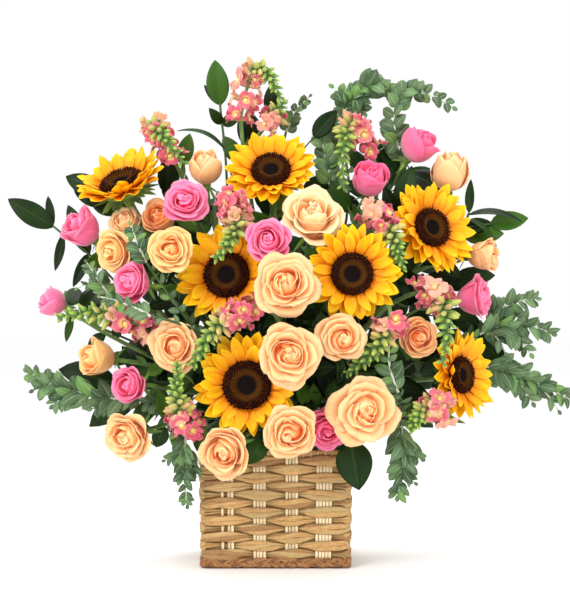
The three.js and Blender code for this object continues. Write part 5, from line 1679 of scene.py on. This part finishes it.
def stem_leaves(work, owner, line, shares, size, draw, finish):
    """Leaves in turn round a flower's own stem, wherever nothing else stands."""
    added = 0
    for n, share in enumerate(shares):
        along = tangent_on(line, share)
        around = Quaternion(along, n * GOLDEN_TURN + draw.uniform(-0.4, 0.4)) @ along.orthogonal().normalized()
        way = (around + along * draw.uniform(0.1, 0.8) - TOWARDS_VIEWER * 0.2).normalized()
        length = size * draw.uniform(0.7, 1.15)
        root = point_on(line, share)
        spots = [root + way * length * reach for reach in (0.45, 0.75, 1.0)]
        if max(spot.y for spot in spots) > BACK or rooms(np.array(spots), 3, (owner, "spare_leaf")).min() < 0:
            continue
        for spot in spots:
            occupy("spare_leaf", spot, 2)
        normal = TOWARDS_VIEWER + Vector((draw.uniform(-0.6, 0.6), 0, draw.uniform(-0.3, 0.8)))
        width = length * draw.uniform(0.48, 0.6)
        leaf(work, root, root + way * length, width, draw.uniform(-3, 6), normal, draw, finish)
        added += 1
    return added


def reach_leaf(work, across, down, size, draw):
    """A leaf on a thin stalk from the nearest stem, which closes a gap at this place of the view."""
    for out in (-20, 8, -48, 34, -76, 60):
        target = place(across, down, out)
        apart = stalks - np.array(target)
        cost = np.linalg.norm(apart, axis=1) + 2 * np.abs(apart[:, 1]) + 40 * (apart[:, 2] > -5)
        root = Vector(stalks[cost.argmin()])
        way = (target - root).normalized()
        start = root + way * max(0.0, (target - root).length - 0.5 * size)
        spots = [start + way * size * share for share in (0.35, 0.6, 0.85, 1.0)]
        if max(spot.y for spot in spots) > BACK or rooms(np.array(spots), 3, ("spare_leaf",)).min() < 0:
            continue
        for spot in spots:
            occupy("spare_leaf", spot, 3)
        normal = TOWARDS_VIEWER + Vector((draw.uniform(-0.4, 0.4), 0, draw.uniform(-0.2, 0.6)))
        if (start - root).length > 3:
            work.tube([root, mix(root, start, 0.5), start + way * 3], 0.9, 6, 0.5, 0.5, 1)
        leaf(work, start, start + way * size, size * draw.uniform(0.46, 0.56), draw.uniform(2, 6), normal, draw)
        return 1
    return 0


# Each leaf of a collar: its place on the stalk, how far it turns aside, and its length.
COLLAR_LEAVES = ((1.0, 0.0, 1.0), (0.8, 0.9, 0.8), (0.72, -0.9, 0.8), (0.45, 1.2, 0.7), (0.4, -1.2, 0.7))


def collar_leaf(work, owner, foot, end, size, draw):
    """A short stalk from the top of a spray's shank, with leaves that lie out over the rim."""
    foot, end = Vector((*foot, STEM_TOP - 2)), Vector(end)
    line = bezier(foot, mix(foot, end, 0.4) + Vector((0, 0, 16)), end)
    away = Vector((end.x - 0.3 * foot.x, end.y, 0)).normalized()
    work.tube(line(np.linspace(0, 1, 8)), 1.3, 6, 0.5, 0.5, 1)
    side = Vector((-away.y, away.x, 0))
    for share, turn, long in COLLAR_LEAVES:
        way = (away + side * turn - Vector((0, 0, draw.uniform(0.1, 0.35)))).normalized()
        root = point_on(line, share)
        tip = root + way * size * long
        if tip.y < BACK and rooms(np.array([mix(root, tip, 0.6), tip]), 2, (owner, owner + "_leaf")).min() > 0:
            leaf(work, root, tip, size * long * 0.52, 4, Vector((0, 0, 1)) + away * 0.3, draw)


# %% Where leaves are still wanted
# Places of the view, across and down, where the background would show between the blooms.
GAPS = [
    (467, 322), (460, 314), (474, 332), (377, 155), (388, 158), (474, 277), (462, 284), (484, 236), (476, 228),
    (340, 196), (355, 190), (346, 204), (316, 186), (326, 192), (358, 165), (143, 414), (150, 408), (251, 126),
    (246, 134), (167, 174), (172, 186), (186, 150), (338, 305), (332, 318), (345, 322), (404, 205), (410, 262),
    (108, 206), (98, 200), (122, 214), (404, 285), (432, 300), (214, 214), (204, 226), (150, 272), (152, 302),
    (146, 342), (140, 352), (156, 396), (396, 172), (414, 178), (424, 182), (266, 196), (232, 150), (440, 280),
    (362, 322), (367, 315), (409, 298), (372, 362), (74, 297), (91, 301), (66, 302), (84, 186), (92, 196),
    (272, 100), (325, 124), (509, 221), (493, 352),
]
# Where the collars' stalks end over the rim, in millimetres.
COLLARS = {
    "ruscus_left": ((-90, 70, 176), (-97, 34, 176)),
    "ruscus_back": ((-34, 86, 174), (0, 88, 176), (34, 86, 174), (-60, 82, 175), (60, 82, 175)),
    "ruscus_right": ((92, 72, 176), (98, 28, 176)),
}

STEM_LEAF_SHARES = np.arange(0.3, 0.94, 0.05)

# %% All the leaves that close the depth
draw = random.Random(55)
added = 0
for i, (_, bloom, *_) in enumerate(heads):
    size = 50 if "disc" in bloom else 42
    added += stem_leaves(stems, f"flower_stem_{i}", bloom["stem"], STEM_LEAF_SHARES, size, draw, 3)
finish_piece("stems_and_sepals", stems, STEM_FINISHES, ["flower_stems"], "stem", FLORET_THICK)
print(added, "leaves on the flower stems")
added = 0
for owner, branches in fans.items():
    for count, size in ((9, 62), (12, 42), (10, 30)):
        added += more_leaves(ruscus[owner], owner, branches, count, size, size * 0.46, draw)
stalks = [spaced(bloom["stem"], 24)[8:] for _, bloom, *_ in heads]
stalks += [spaced(line, 24)[6:] for branches in fans.values() for line, _ in branches]
stalks = np.concatenate(stalks)
closed = [reach_leaf(ruscus["ruscus_back"], *gap, draw.uniform(44, 60), draw) for gap in GAPS]
print(sum(closed), "of", len(GAPS), "gaps closed")
for owner, ends in COLLARS.items():
    for end in ends:
        collar_leaf(ruscus[owner], owner, RUSCUS[owner]["foot"], end, 40, draw)
for owner, work in ruscus.items():
    finish_piece(owner + "_leaves", work, [RUSCUS_LEAF, DARK_TWIG], [owner], "ruscus", RUSCUS_THICK)
print(added, "more leaves")

# %% [markdown]
# ## The basket
# The wall is woven in twelve rows of flat rush. Each row goes round four groups of cane stakes on
# every side, over one and under the next, and the row above does the opposite. So each row here is
# one closed strip that follows the rounded square of the wall and weaves in and out, and each stake
# is a strip that runs up through them. The foot is a plait of three strands, and the rim is a bound
# hoop. A picture of weaving on a plain wall would have no edges and no gaps.

# %% The line of the wall
CORNER = 7
OVER, UNDER, AT_CORNER = -1.8, 4.2, 0.4  # how far behind the wall's line a row runs
SIDES, STAKES = 4, 4
SAMPLES, CORNER_SAMPLES = 40, 8
LOOP = SIDES * (SAMPLES + CORNER_SAMPLES)


def wall_size(z):
    return mix(BASKET["taper"], 1, z / BASKET["height"])


def wall_line(z, inward=0.0):
    """The rounded rectangle of the wall at a height: places, outward ways and lengths along it."""
    size = wall_size(z)
    half_x, half_y = BASKET["width"] / 2 * size - inward, BASKET["depth"] / 2 * size - inward
    corner = max(1.5, CORNER * size - inward * 0.6)
    places, ways = [], []
    for side in range(SIDES):
        turn = Matrix.Rotation(side * math.pi / 2, 2)
        hx, hy = (half_x, half_y) if side % 2 == 0 else (half_y, half_x)
        for i in range(SAMPLES):
            x = mix(-(hx - corner), hx - corner, i / SAMPLES)
            places.append(turn @ Vector((x, -hy)))
            ways.append(turn @ Vector((0, -1)))
        for i in range(CORNER_SAMPLES):
            a = i / CORNER_SAMPLES * math.pi / 2
            centre = Vector((hx - corner, -(hy - corner)))
            way = Vector((math.sin(a), -math.cos(a)))
            places.append(turn @ (centre + way * corner))
            ways.append(turn @ way)
    return places, ways


def loop_step(u):
    """The step of the loop that a sheet's corner at u, -1 to 1, stands at."""
    return round((u + 1) / 2 * LOOP) % LOOP


def stake_spots(side):
    """Where the stakes of a side stand, as shares of the straight part of that side."""
    length = BASKET["width"] if side % 2 == 0 else BASKET["depth"]
    span = length - 2 * CORNER
    return [0.5 + ((stake + 0.5) / STAKES - 0.5) * (length - 2 * CORNER - 16) / span for stake in range(STAKES)]


def weave_depth(row, side, share):
    """How far a row lies behind the outer face, and less than 0 where it swells over a stake."""
    spots = stake_spots(side)
    places = [-0.16, *spots, 1.16]
    depths = [AT_CORNER] + [OVER if (stake + row) % 2 == 0 else UNDER for stake in range(STAKES)] + [AT_CORNER]
    for a, b, from_depth, to_depth in zip(places[:-1], places[1:], depths[:-1], depths[1:]):
        if a <= share <= b:
            return mix(from_depth, to_depth, smooth(0.1, 0.9, (share - a) / (b - a)))
    return AT_CORNER


# %% Weavers
ROWS = BASKET["rows"]
LOW, HIGH = BASKET["border"], BASKET["height"] - BASKET["rim"]
ROW_HEIGHT = (HIGH - LOW) / ROWS


def closed_strip(work, centre_of, across_of, out_of, width_of, thick, tint, crown):
    """A flat strip that closes on itself: a flattened oval section carried round a loop."""

    def section(v):
        angle = v * 2 * math.pi
        flat, deep = math.cos(angle), math.sin(angle)
        return math.copysign(abs(flat) ** 0.55, flat), math.copysign(abs(deep) ** 0.7, deep)

    def shape(u, v):
        i = loop_step(u)
        flat, deep = section(v)
        across = across_of(i) * flat * width_of(i) / 2
        return centre_of(i) + across + out_of(i) * (deep * thick / 2 + crown * (1 - flat * flat))

    def marks(u, v):
        return section(v)[0], u * 12

    work.sheet(shape, LOOP, 8, tint, 0.5, 0, wrap=True, marks=marks)


def weaver(work, row, draw):
    """A row is three strands of rush, side by side and loosely twisted, that swell where they
    cross over a stake and narrow where they dive behind one."""
    z = LOW + (row + 0.5) * ROW_HEIGHT
    places, ways = wall_line(z)
    depths = []
    for side in range(SIDES):
        depths += [weave_depth(row, side, i / SAMPLES) for i in range(SAMPLES)]
        depths += [AT_CORNER] * CORNER_SAMPLES
    swell = [mix(1.22, 0.5, (depth - OVER) / (UNDER - OVER)) for depth in depths]
    turns, start = draw.choice((-5, -4, 4, 5)), draw.uniform(0, 6.3)
    drift = [draw.uniform(0, 6.3) for _ in range(3)]
    for strand in range(3):
        fat = draw.uniform(0.86, 1.14)

        def centre_of(i):
            around = 2 * math.pi * i / LOOP
            twist = start + turns * around + strand * 2 * math.pi / 3
            wander = 0.5 * math.sin(9 * around + drift[strand]) + 0.3 * math.sin(23 * around + drift[-strand])
            x, y = places[i] - ways[i] * (depths[i] + 1.1 - 0.55 * math.sin(twist))
            return Vector((x, y, z + ROW_HEIGHT * 0.3 * swell[i] * math.cos(twist) + wander))

        def width_of(i):
            return ROW_HEIGHT * 0.52 * swell[i] * fat

        def out_of(i):
            return Vector((*ways[i], 0))

        closed_strip(work, centre_of, lambda i: Vector((0, 0, 1)), out_of, width_of, 1.5, draw.random(), 0.4)


work, draw = Work(), random.Random(5)
for row in range(ROWS):
    weaver(work, row, draw)
print("weavers:", len(work.bm.faces), "faces")

# %% Stakes
# For each stake of a side, how many canes have room in it, and which of these it has.
STAKE_CANES = ((4, (0, 2, 3)), (4, (0, 1, 2, 3)), (4, (0, 1, 2, 3)), (5, (0, 1, 2, 3, 4)))
CANE_APART = 17 / 4


def stake_strip(work, side, share, row_phase, width, shift, draw):
    """One cane of a stake group, over and under the rows from the foot to the rim."""
    turn = Matrix.Rotation(side * math.pi / 2, 2)
    side_way, out_way = Vector((*(turn @ Vector((1, 0))), 0)), Vector((*(turn @ Vector((0, -1))), 0))
    lean = draw.uniform(-0.5, 0.5)

    def line(v):
        z = mix(LOW - 3, HIGH + 3, v)
        half = Vector((BASKET["width"], BASKET["depth"])) / 2 * wall_size(z)
        hx, hy = (half.x, half.y) if side % 2 == 0 else (half.y, half.x)
        corner = CORNER * wall_size(z)
        over = math.cos(math.pi * ((z - LOW) / ROW_HEIGHT - 0.5 + row_phase + 1))
        depth = mix(4.4, 0.2, 0.5 + 0.5 * math.copysign(abs(over) ** 0.6, over))
        across = mix(-(hx - corner), hx - corner, share) + shift + lean * (v - 0.5)
        return Vector((*(turn @ Vector((across, -hy + depth))), z))

    def shape(u, v):
        angle = math.pi * u
        ends = 1.0 if 0.001 < v < 0.999 else 0.0
        flat = math.copysign(abs(math.cos(angle)) ** 0.6, math.cos(angle)) * ends
        deep = math.copysign(abs(math.sin(angle)) ** 0.8, math.sin(angle)) * ends
        return line(v) + side_way * flat * width / 2 + out_way * deep * 0.9

    work.sheet(shape, 10, ROWS * 4, draw.random(), 0.5, 1, wrap=True)


for side in range(SIDES):
    for stake, share in enumerate(stake_spots(side)):
        slots, canes = STAKE_CANES[stake]
        for cane in canes:
            shift = (cane - (slots - 1) / 2) * CANE_APART
            stake_strip(work, side, share, stake, CANE_APART * draw.uniform(0.8, 0.9), shift, draw)
print("woven wall:", len(work.bm.faces), "faces")

# %% Inside of the wall


def inside_wall(u, v):
    """A lining behind the weavers, so that no light comes through between them."""
    z = mix(3.0, BASKET["height"] - 6, v)
    places, _ = wall_line(z, 6.2)
    return Vector((*places[loop_step(u)], z))


work.sheet(inside_wall, LOOP, 6, 0.8, 0.5, 0)
finish_piece("woven_wall", work, [RUSH, CANE], ["basket_weave"], "reed")

# %% Plaited foot and bound rim


def plait(work, low, high, strands, waves, thick, draw, inset):
    """Flat strands that cross each other all the way round the basket."""
    middle, swing = (low + high) / 2, (high - low) / 2 - thick * 0.42
    places, ways = wall_line(middle)
    for strand in range(strands):
        phase, drift = 2 * math.pi * strand / strands, draw.uniform(0, 6.3)

        def centre_of(i):
            around = 2 * math.pi * (i % LOOP) / LOOP
            turn = waves * around + phase + 0.5 * math.sin(7 * around + drift)
            x, y = places[i % LOOP] - ways[i % LOOP] * (inset - 1.5 * math.sin(2 * turn))
            return Vector((x, y, middle + swing * math.sin(turn)))

        def across_of(i):
            return Vector((*ways[i], 0)).cross(centre_of(i + 1) - centre_of(i - 1)).normalized()

        def width_of(i):
            return thick * (1 + 0.25 * math.sin(61 * 2 * math.pi * i / LOOP + drift))

        def out_of(i):
            return Vector((*ways[i], 0))

        closed_strip(work, centre_of, across_of, out_of, width_of, 2.2, draw.random(), 0.5)


def hoop(z, wall_at, inset, wide, high):
    """A closed oval core at z all round the basket, inside the line that the wall has at wall_at."""
    places, ways = wall_line(wall_at)

    def shape(u, v):
        i, angle = loop_step(u), v * 2 * math.pi
        x, y = places[i] - ways[i] * (inset + wide * math.sin(angle))
        return Vector((x, y, z + high * math.cos(angle)))

    return shape


LOWEST = 1.3
work = Work()
plait(work, LOWEST, BASKET["border"] + 1, 4, 26, 4.6, draw, 0.6)
plait(work, LOWEST, BASKET["border"], 3, -19, 3.8, draw, 1.6)
work.sheet(hoop(6.3, 6.3, 4.0, 1.4, 5.6), LOOP, 8, 0.95, 0.5, 0, wrap=True)
finish_piece("plaited_foot", work, [PLAIT], ["basket_border"], "border")

RIM_MIDDLE, RIM_INSET = BASKET["height"] - 4.7, 3.6
work = Work()
work.sheet(hoop(RIM_MIDDLE, BASKET["height"] - 4.5, RIM_INSET, 2.6, 3.9), LOOP, 8, 0.4, 0.5, 0, wrap=True)
places, ways = wall_line(RIM_MIDDLE)
for i in range(0, LOOP, 2):
    way, along_way = Vector((*ways[i], 0)), Vector((-ways[i].y, ways[i].x, 0))
    centre = Vector((*(places[i] - ways[i] * RIM_INSET), RIM_MIDDLE))
    ring = [
        centre + way * 3.1 * math.cos(a) + Vector((0, 0, 4.5)) * math.sin(a) + along_way * (0.7 * math.sin(a))
        for a in np.linspace(-2.6, 2.6, 11)
    ]
    work.tube(ring, 0.75, 6, draw.random(), 0.5, 1)
finish_piece("bound_rim", work, [RUSH, CANE], ["basket_rim"], "reed")
print("basket finished")

# %% [markdown]
# ## Studio
# A plain pale floor and background with three large soft lights, so that the colours stay true and
# the depths between the blooms stay dark.

# %% Floor, background and lights
floor_mesh = bpy.data.meshes.new("floor")
floor_bm = bmesh.new()
bmesh.ops.create_grid(floor_bm, x_segments=1, y_segments=1, size=12.0)
floor_bm.to_mesh(floor_mesh)
floor_bm.free()
floor = bpy.data.objects.new("floor", floor_mesh)
bpy.context.scene.collection.objects.link(floor)
PALE, _, shader = new_finish("pale_floor", Roughness=0.9)
shader["Base Color"].default_value = (0.98, 0.98, 0.98, 1)
floor_mesh.materials.append(PALE)

world = bpy.data.worlds.new("studio")
bpy.context.scene.world = world
world.use_nodes = True
backdrop = world.node_tree.nodes["Background"].inputs
backdrop["Color"].default_value, backdrop["Strength"].default_value = (1, 1, 1, 1), 1.0


LIT = Vector((0, 0, 0.33))  # the lights look here


def soft_light(name, spot, size, power):
    data = bpy.data.lights.new(name, "AREA")
    data.shape, data.size, data.energy = "DISK", size, power
    light = bpy.data.objects.new(name, data)
    bpy.context.scene.collection.objects.link(light)
    light.location = Vector(spot)
    light.rotation_euler = (Vector(spot) - LIT).to_track_quat("Z", "Y").to_euler()


soft_light("key", (-1.3, -1.9, 1.9), 1.3, 40)
soft_light("fill", (1.9, -1.6, 1.0), 1.6, 14)
soft_light("top", (0.2, 0.6, 2.2), 1.2, 16)
bpy.context.scene.view_settings.view_transform = "Standard"

# %% Count the pieces, and finish
print(len(made_pieces), "pieces")
